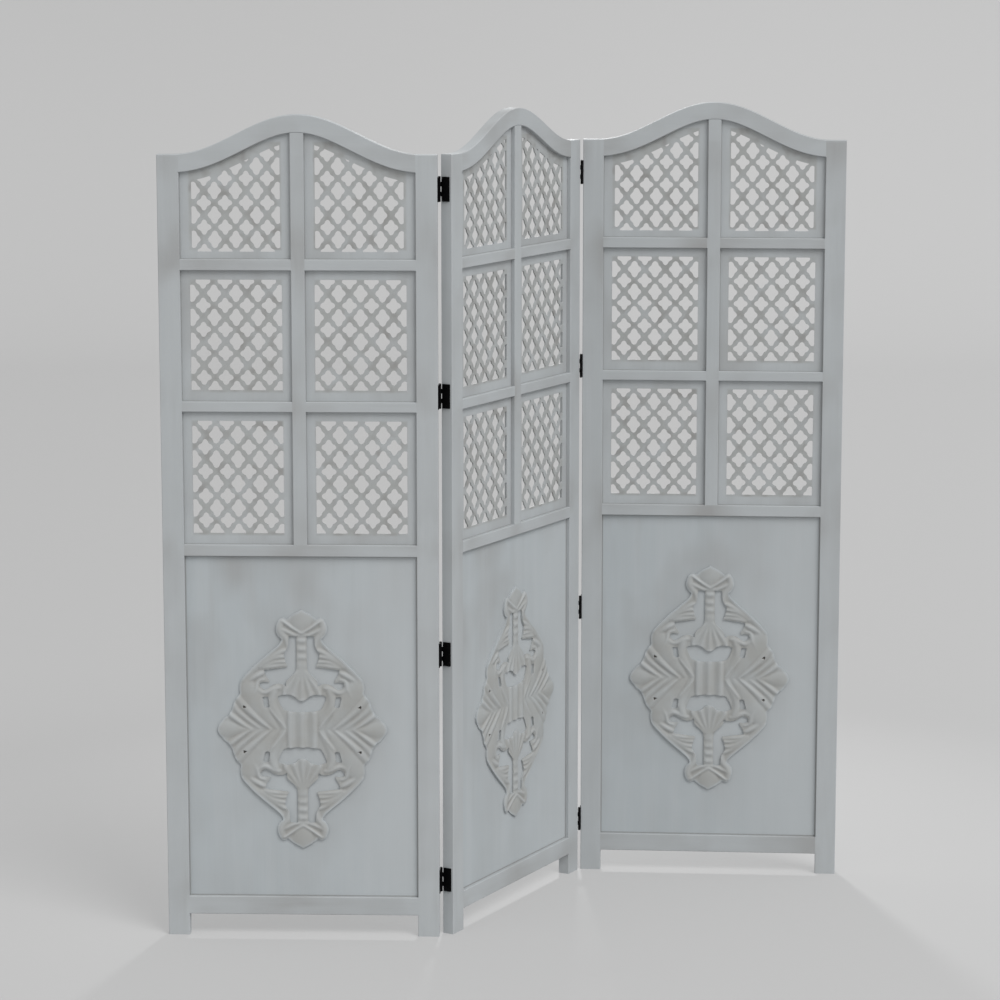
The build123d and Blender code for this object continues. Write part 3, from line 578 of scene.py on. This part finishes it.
HOLLOW_START = 0.9  # strokes start this far under the ground, which leaves a groove beside them
SOFTNESS = 0.65  # how full the rounded section of a stroke is
PIT_FLOOR = 2.0  # height of a pit's floor above the board
PIT_EDGE = 0.5  # half the width over which a pit's side falls
STEM_WIDTH = 10.3  # half the width of the stem above and below the middle
STEM_FOOT = 128.0
STEM_HEAD = 203.0
STEM_RISE = 2.5  # height of the stem's middle above its sides
STEM_SQUARENESS = 4
STEM_SOFTNESS = 0.8
RUNG_PITCH = 17.5  # the stem's level ridges
RUNG_START = 187.5
RUNG_HEIGHT = 1.2
RUNG_FADE = 30.0
SHELL_CENTRE = 132.0  # the palmette's flutes fan out from here
SHELL_REACH = 78.0
SHELL_FOOT = 58.0
SHELL_WIDTH = 40.0
SHELL_TURN = 50  # degrees to either side that the palmette fans out
SHELL_LEVEL = 4.8
SHELL_RISE = 0.8
SHELL_FLUTE_ANGLE = 17.0
SHELL_FLUTE_HEIGHT = 0.9
FLUTE_GROWTH = (8, 25)  # radius where the flutes begin, and the width over which they grow
SHELL_GROWTH = (20, 50)  # the same for the palmette's own rise
BAND_WIDTH = 31.0  # half the width and height of the fluted band in the middle
BAND_HEIGHT = 38.0
BAND_LEVEL = 5.0
BAND_FLUTE_PITCH = 25.0
BAND_FLUTE_HEIGHT = 1.3
BLUR_PASSES = 4  # passes that soften the relief
WIDE_BLUR_PASSES = 26  # passes that give the height around a point
RUN_STEP = 1.5  # spacing of the points along an outline or a stroke
LEAST_EDGE = 0.1  # share of the grid's step that a grid point stays away from the edge
LEAST_WEIGHT = 0.05  # least share of wood around a point that its softened height is divided by
GLAZE_FULL = 5.0  # the glaze is full this far inside the outline
# Millimetres of height where a tone starts, its rise per millimetre and its most.
# The hollow tone paints dark glaze and shade where the carving lies below its surroundings.
HOLLOW_GLAZE_AND_SHADE = (0.25, 0.55, 0.8)
RIDGE_WEAR_AND_HIGHLIGHT = (0.15, 0.9, 1)
# A pit adds painted shadow on top of the hollow tone.
PIT_TONE = 2  # what a pit adds to the hollow tone
# The outer walls take the full ridge tone, painted light that pales their shaded sides.
WALL_TONES = {"hollow": 0.0, "ridge": 1.0, "glazed": 0.4}  # tones of the carving's outer walls


def smooth_run(points):
    """Points of a Catmull-Rom curve through the given ones."""
    known = np.array(points, float)
    known = np.vstack([2 * known[0] - known[1], known, 2 * known[-1] - known[-2]])
    runs = []
    for before, start, end, after in zip(known[:-3], known[1:-2], known[2:-1], known[3:]):
        count = max(2, int(np.hypot(*(end - start)[:2]) / RUN_STEP))
        t = np.linspace(0, 1, count, endpoint=False)[:, None]
        bend = (2 * before - 5 * start + 4 * end - after) * t ** 2
        twist = (3 * start - before - 3 * end + after) * t ** 3
        runs.append(0.5 * (2 * start + (end - before) * t + bend + twist))
    runs.append(known[-2:-1])
    return np.vstack(runs)


def is_inside(x, z, polygon):
    """Which points of a grid lie inside a polygon."""
    crossings = np.zeros(x.shape, bool)
    for (x0, z0), (x1, z1) in zip(polygon, np.roll(polygon, -1, axis=0)):
        if z0 != z1:
            crossings ^= ((z0 > z) != (z1 > z)) & (x < (x1 - x0) * (z - z0) / (z1 - z0) + x0)
    return crossings


def distance_to(x, z, run):
    """Distance of each point of a grid to a run of points."""
    nearest = np.full(x.shape, np.inf)
    for start, end in zip(run[:-1], run[1:]):
        step = end - start
        size = step @ step
        if size > 0:
            t = np.clip(((x - start[0]) * step[0] + (z - start[1]) * step[1]) / size, 0, 1)
            nearest = np.minimum(nearest, np.hypot(x - start[0] - t * step[0], z - start[1] - t * step[1]))
    return nearest


def outline_distance(x, z):
    """Signed distance to the carving's outline, positive inside."""
    outline = smooth_run(OUTLINE)
    closed = np.vstack([outline, [(-1, -1), (-1, DRAWN_HEIGHT)]])
    closed[len(outline) - 1:len(outline) + 1] = [(DRAWN_WIDTH, -1), (-1, -1)]
    edge = distance_to(x, z, outline)
    return np.where(is_inside(x, z, closed), edge, -edge)


def opening_distance(x, z, openings):
    """Signed distance to the nearest of some openings, positive outside them."""
    signed = np.full(x.shape, np.inf)
    for points in openings.values():
        opening = smooth_run(points + points[:1])
        edge = distance_to(x, z, opening)
        signed = np.minimum(signed, np.where(is_inside(x, z, opening), -edge, edge))
    return signed


def stroke_height(x, z, points):
    """Height of one rounded stroke, and where it lies."""
    share_of_width = np.full(x.shape, np.inf)
    top = np.zeros(x.shape)
    for px, pz, half_width, height in smooth_run(points):
        ratio = np.hypot(x - px, z - pz) / half_width
        nearer = ratio < share_of_width
        share_of_width = np.where(nearer, ratio, share_of_width)
        top = np.where(nearer, height, top)
    crown = np.clip(1 - share_of_width ** 2, 0, 1) ** SOFTNESS
    start = GROUND - HOLLOW_START
    return start + (top - start) * crown, share_of_width < 1


def grown(value, start, width):
    """How far a value is past a start, from 0 to 1 over a width."""
    return np.clip((value - start) / width, 0, 1)


def relief(x, z):
    """Height of the carving above the board."""
    height = np.full(x.shape, GROUND)
    for points in STROKES.values():
        raised, there = stroke_height(x, z, points)
        height = np.where(there, np.maximum(height, raised), height)
    across = np.clip(1 - (x / STEM_WIDTH) ** STEM_SQUARENESS, 0, 1) ** STEM_SOFTNESS
    rungs = RUNG_HEIGHT * np.cos(2 * math.pi * (z - RUNG_START) / RUNG_PITCH)
    stem = GROUND - HOLLOW_START + (STEM_RISE + rungs * grown(z, STEM_FOOT, RUNG_FADE)) * across
    on_stem = (x < STEM_WIDTH) & (z > STEM_FOOT) & (z < STEM_HEAD)
    height = np.where(on_stem, np.maximum(height, stem), height)
    radius = np.hypot(x, SHELL_CENTRE - z)
    turn = np.degrees(np.arctan2(x, SHELL_CENTRE - z))
    on_shell = (radius < SHELL_REACH) & (turn < SHELL_TURN) & (x < SHELL_WIDTH)
    on_shell &= (z > SHELL_FOOT) & (z < STEM_FOOT)
    flutes = SHELL_FLUTE_HEIGHT * np.cos(np.radians(turn * 360 / SHELL_FLUTE_ANGLE))
    shell = SHELL_LEVEL + flutes * grown(radius, *FLUTE_GROWTH) + SHELL_RISE * grown(radius, *SHELL_GROWTH)
    height = np.where(on_shell, shell, height)
    on_band = (x < BAND_WIDTH) & (z < BAND_HEIGHT)
    band = BAND_LEVEL + BAND_FLUTE_HEIGHT * np.cos(2 * math.pi * x / BAND_FLUTE_PITCH)
    return np.where(on_band, band, height)


def toned(height, start, rise, most):
    """Tone of a difference in height."""
    return np.clip((height - start) * rise, 0, most)


def blurred(field, passes):
    """A field averaged over its neighbours a number of times."""
    for _ in range(passes):
        padded = np.pad(field, 1, mode="edge")
        field = (padded[1:-1, :-2] + padded[1:-1, 2:] + padded[:-2, 1:-1] + padded[2:, 1:-1] + field) / 5
    return field


def mirrored_field(field):
    """The four quarters of a field given on one quarter."""
    upper = np.hstack([field[:, :0:-1], field])
    return np.vstack([upper[:0:-1], upper])


class CarvingFields:
    """Grid lines of the whole carving, and its edge, height and tones on them, in millimetres."""

    def __init__(self, settings):
        step = settings.grid / MM
        xs = np.arange(0, DRAWN_WIDTH + 2 * step, step)
        zs = np.arange(0, DRAWN_HEIGHT + 2 * step, step)
        x, z = np.meshgrid(xs, zs)
        outline = outline_distance(x, z)
        edge = np.minimum(outline, opening_distance(x, z, VOIDS))
        least = LEAST_EDGE * step
        edge = np.where(np.abs(edge) < least, np.where(edge < 0, -least, least), edge)
        pit = np.clip(PIT_EDGE - opening_distance(x, z, PITS), 0, 1)
        self.xs = np.concatenate([-xs[:0:-1], xs])
        self.zs = np.concatenate([-zs[:0:-1], zs])
        self.edge = mirrored_field(edge)
        wood = (self.edge > 0).astype(float)
        weight = blurred(wood, BLUR_PASSES)
        carved = blurred(mirrored_field(relief(x, z)) * wood, BLUR_PASSES) / np.maximum(weight, LEAST_WEIGHT)
        near = 1 - grown(self.edge, 0, settings.rounding / MM)
        rounded = carved - settings.edge_drop / MM * near ** 2
        pit = mirrored_field(pit)
        self.height = rounded + (PIT_FLOOR - rounded) * pit
        around = blurred(np.where(wood > 0, rounded, GROUND), WIDE_BLUR_PASSES)
        self.tones = {
            # Hollow tone: dark glaze and painted shade below the surroundings, and painted shadow in the
            # pits.
            "hollow": toned(around - rounded, *HOLLOW_GLAZE_AND_SHADE) + PIT_TONE * pit,
            # Ridge tone: worn paleness and painted highlight where the carving stands above its surroundings.
            "ridge": toned(rounded - around, *RIDGE_WEAR_AND_HIGHLIGHT),
            "glazed": mirrored_field(grown(outline, 0, GLAZE_FULL)),
        }


class ReliefMesh:
    """Closed mesh of the carving: a relief cut off at its edge, walls down to the board, and a flat back."""

    def __init__(self, settings):
        self.fields = CarvingFields(settings)
        self.points = []
        self.tones = []
        self.known = {}
        self.faces = []
        self.next_on_rim = {}
        for row in range(len(self.fields.zs) - 1):
            for column in range(len(self.fields.xs) - 1):
                self.add_cell(row, column)
        self.add_walls_and_back()

    def vertex(self, key, x, z, place):
        """Number of the vertex of that key, made the first time with the height and tones of a grid point."""
        if key not in self.known:
            self.known[key] = len(self.points)
            self.points.append((x, self.fields.height[place], z))
            self.tones.append([tone[place] for tone in self.fields.tones.values()])
        return self.known[key]

    def corner(self, row, column):
        """Vertex on a grid point."""
        return self.vertex((row, column), self.fields.xs[column], self.fields.zs[row], (row, column))

    def crossing(self, start, end):
        """Vertex where the carving's edge crosses the line between two grid points."""
        key = (start, end) if start < end else (end, start)
        edge, xs, zs = self.fields.edge, self.fields.xs, self.fields.zs
        t = edge[start] / (edge[start] - edge[end])
        inner = start if edge[start] > 0 else end
        x = xs[start[1]] + t * (xs[end[1]] - xs[start[1]])
        z = zs[start[0]] + t * (zs[end[0]] - zs[start[0]])
        return self.vertex(key, x, z, inner)

    def add_cell(self, row, column):
        """The part of one grid cell that lies on the wood."""
        edge = self.fields.edge
        cell = ((row, column), (row, column + 1), (row + 1, column + 1), (row + 1, column))
        face = []
        crossings = []
        for start, end in zip(cell, cell[1:] + cell[:1]):
            if edge[start] > 0:
                face.append(self.corner(*start))
            if (edge[start] > 0) != (edge[end] > 0):
                face.append(self.crossing(start, end))
                crossings.append((edge[start] > 0, face[-1]))
        if face:
            self.faces.append(face)
        for number, (leaves_wood, vertex) in enumerate(crossings):
            if leaves_wood:
                self.next_on_rim[vertex] = crossings[(number + 1) % len(crossings)][1]

    def rim_loops(self):
        """Closed runs of vertices along the carving's edge."""
        loops = []
        left = dict(self.next_on_rim)
        while left:
            start, vertex = left.popitem()
            loop = [start]
            while vertex != start:
                loop.append(vertex)
                vertex = left.pop(vertex)
            loops.append(loop)
        return loops

    def add_walls_and_back(self):
        """Walls from the carving's edge to the board, and the flat back between them."""
        loops = self.rim_loops()
        lower = {}
        for loop in loops:
            for vertex in loop:
                x, _, z = self.points[vertex]
                lower[vertex] = len(self.points)
                self.points.append((x, 0.0, z))
                self.tones.append([WALL_TONES[name] for name in self.fields.tones])
            for start, end in zip(loop, loop[1:] + loop[:1]):
                self.faces.append([end, start, lower[start], lower[end]])
        order = [lower[vertex] for loop in loops for vertex in loop]
        flat = []
        for loop in loops:
            flat.append([Vector((self.points[vertex][0], self.points[vertex][2], 0)) for vertex in loop])
        for triangle in tessellate_polygon(flat):
            self.faces.append([order[corner] for corner in triangle])


def mesh_from(name, points, faces):
    """A mesh of the given points and faces."""
    mesh = bpy.data.meshes.new(name)
    mesh.from_pydata(points, [], faces)
    mesh.update()
    return mesh


def outward(mesh):
    """Turn the faces of a closed mesh outwards."""
    work = bmesh.new()
    work.from_mesh(mesh)
    bmesh.ops.recalc_face_normals(work, faces=work.faces)
    work.to_mesh(mesh)
    work.free()


def linked(name, data):
    """An object in the scene with its origin at the frame's."""
    item = bpy.data.objects.new(name, data)
    bpy.context.scene.collection.objects.link(item)
    return item


CARVING_SHARP_ANGLE = math.radians(50)


def carve_medallion(leaf, pattern, material):
    """One leaf's medallion, on the face of its solid panel."""
    node = leaf.node("medallion")
    low, high = leaf.measured(node)
    centre = (low + high) / 2
    wide = (high.x - low.x) / 2 / DRAWN_WIDTH
    tall = (high.z - low.z) / 2 / DRAWN_HEIGHT
    points = [
        leaf.matrix @ Vector((centre.x + x * wide, high.y - height * MM, centre.z + z * tall))
        for x, height, z in pattern.points
    ]
    mesh = mesh_from(f"{leaf.name}_carving", points, pattern.faces)
    for number, name in enumerate(pattern.fields.tones):
        tone = mesh.attributes.new(name, "FLOAT", "POINT")
        tone.data.foreach_set("value", [tones[number] for tones in pattern.tones])
    outward(mesh)
    mesh.shade_smooth()
    mesh.set_sharp_from_angle(angle=CARVING_SHARP_ANGLE)
    mesh.materials.append(material)
    piece = linked(f"{leaf.name}_carved_medallion", mesh)
    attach(piece, leaf.body)
    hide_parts(node)


# ---------------- hinge screws
class GeometryPattern(NodeMaker):
    """One Geometry Nodes tree with named inputs."""

    def __init__(self, name, sizes, material):
        self.tree = bpy.data.node_groups.new(name, "GeometryNodeTree")
        self.material = material
        self.identifiers = {}
        for direction in ("INPUT", "OUTPUT"):
            self.add_socket("Geometry", direction, "Geometry")
        for label, kind in sizes.items():
            self.identifiers[label] = self.add_socket(label, "INPUT", kind).identifier
        self.given = self.tree.nodes.new("NodeGroupInput")

    def add_socket(self, label, direction, kind):
        """Add an input or the output of the tree."""
        return self.tree.interface.new_socket(name=label, in_out=direction, socket_type="NodeSocket" + kind)

    def size(self, label):
        """One of the tree's named inputs."""
        return Signal(self, self.given.outputs[label])

    def chosen(self, index, choices):
        """The choice whose number is the index."""
        return self.node("GeometryNodeIndexSwitch", {0: index, **dict(enumerate(choices, 1))},
                         data_type="FLOAT", choices=len(choices))

    def finish(self, instances):
        """End the tree in real geometry with its one material."""
        real = self.node("GeometryNodeRealizeInstances", {0: instances})
        dressed = self.node("GeometryNodeSetMaterial", {"Geometry": real, "Material": self.material})
        self.node("NodeGroupOutput", {0: dressed})

    def apply(self, piece, values):
        """Run the tree on an object with the given values, and keep the result as a plain mesh."""
        modifier = piece.modifiers.new(self.tree.name, "NODES")
        modifier.node_group = self.tree
        for label, value in values.items():
            modifier[self.identifiers[label]] = value
        graph = bpy.context.evaluated_depsgraph_get()
        mesh = bpy.data.meshes.new_from_object(piece.evaluated_get(graph), depsgraph=graph)
        mesh.materials.clear()
        mesh.materials.append(self.material)
        mesh.polygons.foreach_set("material_index", [0] * len(mesh.polygons))
        piece.modifiers.clear()
        piece.data = mesh
        return mesh


# Each length of a screw: the input of its tree and the setting that gives it.
SCREW_LENGTHS = {
    "Head Radius": "screw_head", "Head Height": "head_height", "Shank Radius": "screw_shank",
    "Length": "screw_length", "Tip Length": "tip_length", "Slot Width": "slot_width",
    "Slot Length": "slot_length", "Slot Depth": "slot_depth",
}
SCREW_SIDES = 24
TIP_SHARE = 0.25  # radius of the blunt tip, as a share of the shank's
FACE_SHARE = 0.94  # radius of the head's face, as a share of the head's
BEVEL_SHARE = 0.1  # depth of the bevel around the face, as a share of the head's height
SCREW_GAP = 3.0  # least height between two screws, in millimetres
SCREWS_IN_A_ROW = 12
SCREW_SHARP_ANGLE = math.radians(30)


def screw_pattern(material):
    """Countersunk screws with a crossed slot, one on each point, each left at its own turn."""
    sizes = {**dict.fromkeys(SCREW_LENGTHS, "Float"), "Head Direction": "Vector", "Turn Seed": "Int"}
    pattern = GeometryPattern("hinge_screws", sizes, material)
    size = pattern.size
    radius, shank = size("Head Radius"), size("Shank Radius")
    levels = (
        (shank * TIP_SHARE, size("Length") * -1), (shank, size("Tip Length") - size("Length")),
        (shank, size("Head Height") * -1), (radius, size("Head Height") * -BEVEL_SHARE),
        (radius * FACE_SHARE, 0.0),
    )
    blank = pattern.node("GeometryNodeMeshCylinder", {
        "Vertices": SCREW_SIDES, "Side Segments": len(levels) - 1, "Radius": 1.0, "Depth": len(levels) - 1.0,
    }, fill_type="NGON")
    place = pattern.node("GeometryNodeInputPosition")
    around = [pattern.node("ShaderNodeSeparateXYZ", {0: place}, axis) for axis in range(3)]
    level = pattern.node("ShaderNodeMath", {0: around[2] + (len(levels) - 1) / 2}, operation="ROUND")
    wide = pattern.chosen(level, [wide for wide, _ in levels])
    high = pattern.chosen(level, [high for _, high in levels])
    turned = pattern.node("ShaderNodeCombineXYZ", {0: around[0] * wide, 1: around[1] * wide, 2: high})
    body = pattern.node("GeometryNodeSetPosition", {"Geometry": blank, "Position": turned})
    arms = [
        pattern.node("GeometryNodeMeshCube", {"Size": pattern.node("ShaderNodeCombineXYZ", {
            0: size(across), 1: size(along), 2: size("Slot Depth") * 2})})
        for across, along in (("Slot Width", "Slot Length"), ("Slot Length", "Slot Width"))
    ]
    screw = pattern.node("GeometryNodeMeshBoolean", {0: body, 1: arms},
                         operation="DIFFERENCE", solver="EXACT")
    facing = pattern.node("FunctionNodeAlignRotationToVector", {"Vector": size("Head Direction")}, axis="Z")
    turn = pattern.node("FunctionNodeRandomValue", {2: 0.0, 3: 2 * math.pi, "Seed": size("Turn Seed")}, 1,
                        data_type="FLOAT")
    spin = pattern.node("FunctionNodeAxisAngleToRotation", {"Axis": (0, 0, 1), "Angle": turn})
    standing = pattern.node("FunctionNodeRotateRotation", {0: facing, 1: spin}, rotation_space="LOCAL")
    placed = pattern.node("GeometryNodeInstanceOnPoints", {
        "Points": size("Geometry"), "Instance": screw, "Rotation": standing})
    pattern.finish(placed)
    return pattern


def heights_of(node):
    """Middle height of each separate solid of a node whose solids stand one above another."""
    levels = sorted(vertex.co.z for vertex in frame["nodes"][node].data.vertices)
    runs = [[levels[0]]]
    for level in levels[1:]:
        if level - runs[-1][-1] > SCREW_GAP * MM:
            runs.append([])
        runs[-1].append(level)
    return [(run[0] + run[-1]) / 2 for run in runs]


def drive_screws(node, leaf, pattern, iron):
    """The screws that hold one row of hinge plates to a leaf's edge."""
    low, high = leaf.measured(node)
    width = leaf.box("right_stile")[1].x
    outward_side = 1 if low.x > width / 2 else -1
    face = high.x if outward_side > 0 else low.x
    heads = [leaf.matrix @ Vector((face, (low.y + high.y) / 2, height)) for height in heights_of(node)]
    piece = linked(node.replace("_screws_", "_driven_screws_"), mesh_from(f"{node}_heads", heads, []))
    mesh = pattern.apply(piece, {
        **{label: getattr(iron, setting) for label, setting in SCREW_LENGTHS.items()},
        "Head Direction": leaf.matrix.to_3x3() @ Vector((outward_side, 0, 0)), "Turn Seed": iron.turn_seed,
    })
    if len(heads) != SCREWS_IN_A_ROW or not mesh.polygons:
        raise RuntimeError(f"{node} gave {len(heads)} screws and {len(mesh.polygons)} faces")
    mesh.shade_smooth()
    mesh.set_sharp_from_angle(angle=SCREW_SHARP_ANGLE)
    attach(piece, leaf.body)
    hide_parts(node)


# ---------------- studio
# The studio, in metres from the middle of the screen.
# The paper's painted glow brightens from left to right within this reach.
GLOW_REACH = 2.2  # the paper's even tone goes from its left to its right value within this reach
FLOOR_HALF_WIDTH = 40.0
FLOOR_FRONT = -30.0
BACKDROP_DISTANCE = 9.0
BACKDROP_RADIUS = 3.0
BACKDROP_HEIGHT = 16.0
FARTHEST_SEEN = 200
BEND_STEPS = 24
SENSOR_WIDTH = 36  # millimetres
SEEN_RAYS = ("Is Camera Ray", "Is Glossy Ray", "Is Transmission Ray")


def paper_material(studio):
    """Matt paper of the floor and backdrop, partly a painted glow, brighter towards the right, that keeps
    shadows on it soft.
    """
    paper = Finish(bpy.data.materials.new("studio_paper"))
    along = paper.part(paper.node("TexCoord", output="Object"), 0)
    rise = paper.node("MapRange", {"Value": along, "From Min": -GLOW_REACH, "From Max": GLOW_REACH},
                      interpolation_type="SMOOTHSTEP")
    tone = paper.mix(rise, studio.left_glow, studio.right_glow)
    painted_glow = paper.node("Emission", {"Color": tone, "Strength": 1.0})
    matt = paper.node("BsdfDiffuse", {"Color": (*studio.floor, 1)})
    seen = [paper.node("LightPath", output=kind) for kind in SEEN_RAYS]
    factor = paper.math("MAXIMUM", paper.math("MAXIMUM", seen[0], seen[1]), seen[2]) * studio.glow
    paper.node("OutputMaterial", {"Surface": paper.node("MixShader", {0: factor, 1: matt, 2: painted_glow})})
    return paper.owner


def floor_and_backdrop(material):
    """A floor that turns up into a backdrop in one curve."""
    profile = [(FLOOR_FRONT, 0.0)]
    for step in range(BEND_STEPS + 1):
        turn = math.pi / 2 * step / BEND_STEPS
        profile.append((BACKDROP_DISTANCE + BACKDROP_RADIUS * math.sin(turn),
                        BACKDROP_RADIUS * (1 - math.cos(turn))))
    profile.append((BACKDROP_DISTANCE + BACKDROP_RADIUS, BACKDROP_HEIGHT))
    points = [(side * FLOOR_HALF_WIDTH, y, z) for y, z in profile for side in (-1, 1)]
    faces = [(2 * row, 2 * row + 1, 2 * row + 3, 2 * row + 2) for row in range(len(profile) - 1)]
    mesh = mesh_from("studio_floor", points, faces)
    mesh.shade_smooth()
    mesh.materials.append(material)
    floor = linked("studio_floor", mesh)


def sky_light(studio):
    """Even white light all round, which the camera sees in the tone of the paper."""
    sky = Finish(bpy.data.worlds.new("studio_light"))
    seen = sky.node("LightPath", output="Is Camera Ray")
    strength = sky.node("MapRange", {"Value": seen, "To Min": studio.sky, "To Max": studio.sky_seen})
    light = sky.node("Background", {"Color": (1, 1, 1, 1), "Strength": strength})
    sky.node("OutputWorld", {"Surface": light})
    return sky.owner


def add_lamp(name, kind, strength, location=(0, 0, 0), rotation=(0, 0, 0), **shape):
    """A lamp that the camera doesn't see."""
    data = bpy.data.lights.new(name, kind)
    data.energy = strength
    for key, value in shape.items():
        setattr(data, key, value)
    light = linked(name, data)
    light.location = location
    light.rotation_euler = rotation
    light.visible_camera = False


def add_lamps(studio):
    """A broad key lamp at the front right, and a small one behind that shines to the front."""
    key_turn = (math.pi / 2 - studio.key_elevation, 0, studio.key_azimuth)
    add_lamp("key_lamp", "SUN", studio.key, rotation=key_turn, angle=studio.key_softness)
    back_place = (studio.back_side, studio.back_distance, studio.back_height)
    back_turn = (math.atan2(-studio.back_distance, studio.back_height), 0, 0)
    add_lamp("back_lamp", "AREA", studio.back, back_place, back_turn,
             shape="DISK", size=studio.back_size, spread=studio.back_spread)


def add_camera(studio):
    """Camera in front of the screen, looking a little down."""
    data = bpy.data.cameras.new("camera")
    data.lens = studio.focal_length
    data.sensor_width = SENSOR_WIDTH
    data.clip_end = FARTHEST_SEEN
    camera = linked("camera", data)
    camera.location = (-studio.camera_side, -studio.camera_distance, studio.camera_height)
    camera.rotation_euler = (math.pi / 2 - studio.camera_tilt, 0, 0)
    bpy.context.scene.camera = camera


# ---------------- operators
class JALI_OT_frame(bpy.types.Operator):
    """Wash the stiles, rails and mullions of the three leaves"""
    bl_idname = "jali.frame"
    bl_label = "Wash the frames"

    def execute(self, context):
        for leaf in all_leaves():
            for grain, members in (("upright", UPRIGHT_MEMBERS), ("level", LEVEL_MEMBERS)):
                material = frame_material(leaf, grain, context.scene.jali_wash)
                for member in members:
                    dress(leaf.node(member), material)
        return {"FINISHED"}


class JALI_OT_panels(bpy.types.Operator):
    """Wash the solid panels"""
    bl_idname = "jali.panels"
    bl_label = "Wash the solid panels"

    def execute(self, context):
        for leaf in all_leaves():
            dress(leaf.node("field_panel"), board_material(leaf, context.scene.jali_wash))
        return {"FINISHED"}


class JALI_OT_lattices(bpy.types.Operator):
    """Wash the pierced lattices"""
    bl_idname = "jali.lattices"
    bl_label = "Wash the lattices"

    def execute(self, context):
        for leaf in all_leaves():
            for number, lattice in enumerate(LATTICES):
                dress(leaf.node(lattice), lattice_material(leaf, number, context.scene.jali_wash))
        return {"FINISHED"}


class JALI_OT_medallions(bpy.types.Operator):
    """Carve the three medallions"""
    bl_idname = "jali.medallions"
    bl_label = "Carve the medallions"

    def execute(self, context):
        pattern = ReliefMesh(context.scene.jali_carving)
        for leaf in all_leaves():
            carve_medallion(leaf, pattern, carving_material(leaf, context.scene.jali_wash))
        return {"FINISHED"}


class JALI_OT_hinges(bpy.types.Operator):
    """Paint the hinge plates and pins"""
    bl_idname = "jali.hinges"
    bl_label = "Paint the hinges"

    def execute(self, context):
        paint = iron_material(context.scene.jali_iron)
        for name in frame["nodes"]:
            if "_hinge_" in name:
                dress(name, paint)
        return {"FINISHED"}


class JALI_OT_screws(bpy.types.Operator):
    """Drive the screws of the hinge plates"""
    bl_idname = "jali.screws"
    bl_label = "Drive the screws"

    def execute(self, context):
        iron = context.scene.jali_iron
        pattern = screw_pattern(bpy.data.materials["black_paint"])
        for leaf in all_leaves():
            for name in frame["nodes"]:
                if name.endswith(f"_screws_{leaf.body}"):
                    drive_screws(name, leaf, pattern, iron)
        return {"FINISHED"}


class JALI_OT_studio(bpy.types.Operator):
    """Set up the floor, the lamps and the camera"""
    bl_idname = "jali.studio"
    bl_label = "Set up the studio"

    def execute(self, context):
        studio = context.scene.jali_studio
        floor_and_backdrop(paper_material(studio))
        add_lamps(studio)
        context.scene.world = sky_light(studio)
        context.scene.view_settings.view_transform = "Standard"
        add_camera(studio)
        return {"FINISHED"}


class JALI_PT_panel(bpy.types.Panel):
    """Sizes, colours and steps of the screen"""
    bl_idname = "JALI_PT_panel"
    bl_label = "Jali screen"
    bl_space_type = "VIEW_3D"
    bl_region_type = "UI"
    bl_category = "Jali screen"

    def draw(self, context):
        for group in SETTINGS:
            box = self.layout.box()
            box.label(text=group)
            settings = getattr(context.scene, group)
            for name in settings.__annotations__:
                box.prop(settings, name)
        for operator in OPERATORS:
            self.layout.operator(operator.bl_idname)


OPERATORS = (
    JALI_OT_frame, JALI_OT_panels, JALI_OT_lattices, JALI_OT_medallions, JALI_OT_hinges, JALI_OT_screws,
    JALI_OT_studio)
SETTINGS = {
    "jali_wash": WashSettings,
    "jali_iron": IronSettings,
    "jali_carving": CarvingSettings,
    "jali_studio": StudioSettings,
}


def register():
    """Register the settings, operators and panel."""
    for name, group in SETTINGS.items():
        bpy.utils.register_class(group)
        setattr(bpy.types.Scene, name, bpy.props.PointerProperty(type=group))
    for item in (*OPERATORS, JALI_PT_panel):
        bpy.utils.register_class(item)


def unregister():
    """Remove what register added."""
    for item in (JALI_PT_panel, *reversed(OPERATORS)):
        bpy.utils.unregister_class(item)
    for name, group in SETTINGS.items():
        delattr(bpy.types.Scene, name)
        bpy.utils.unregister_class(group)


def main():
    """Build every piece in order."""
    register()
    bpy.ops.jali.frame()
    bpy.ops.jali.panels()
    bpy.ops.jali.lattices()
    bpy.ops.jali.medallions()
    bpy.ops.jali.hinges()
    bpy.ops.jali.screws()
    bpy.ops.jali.studio()


if __name__ == "__main__":
    main()
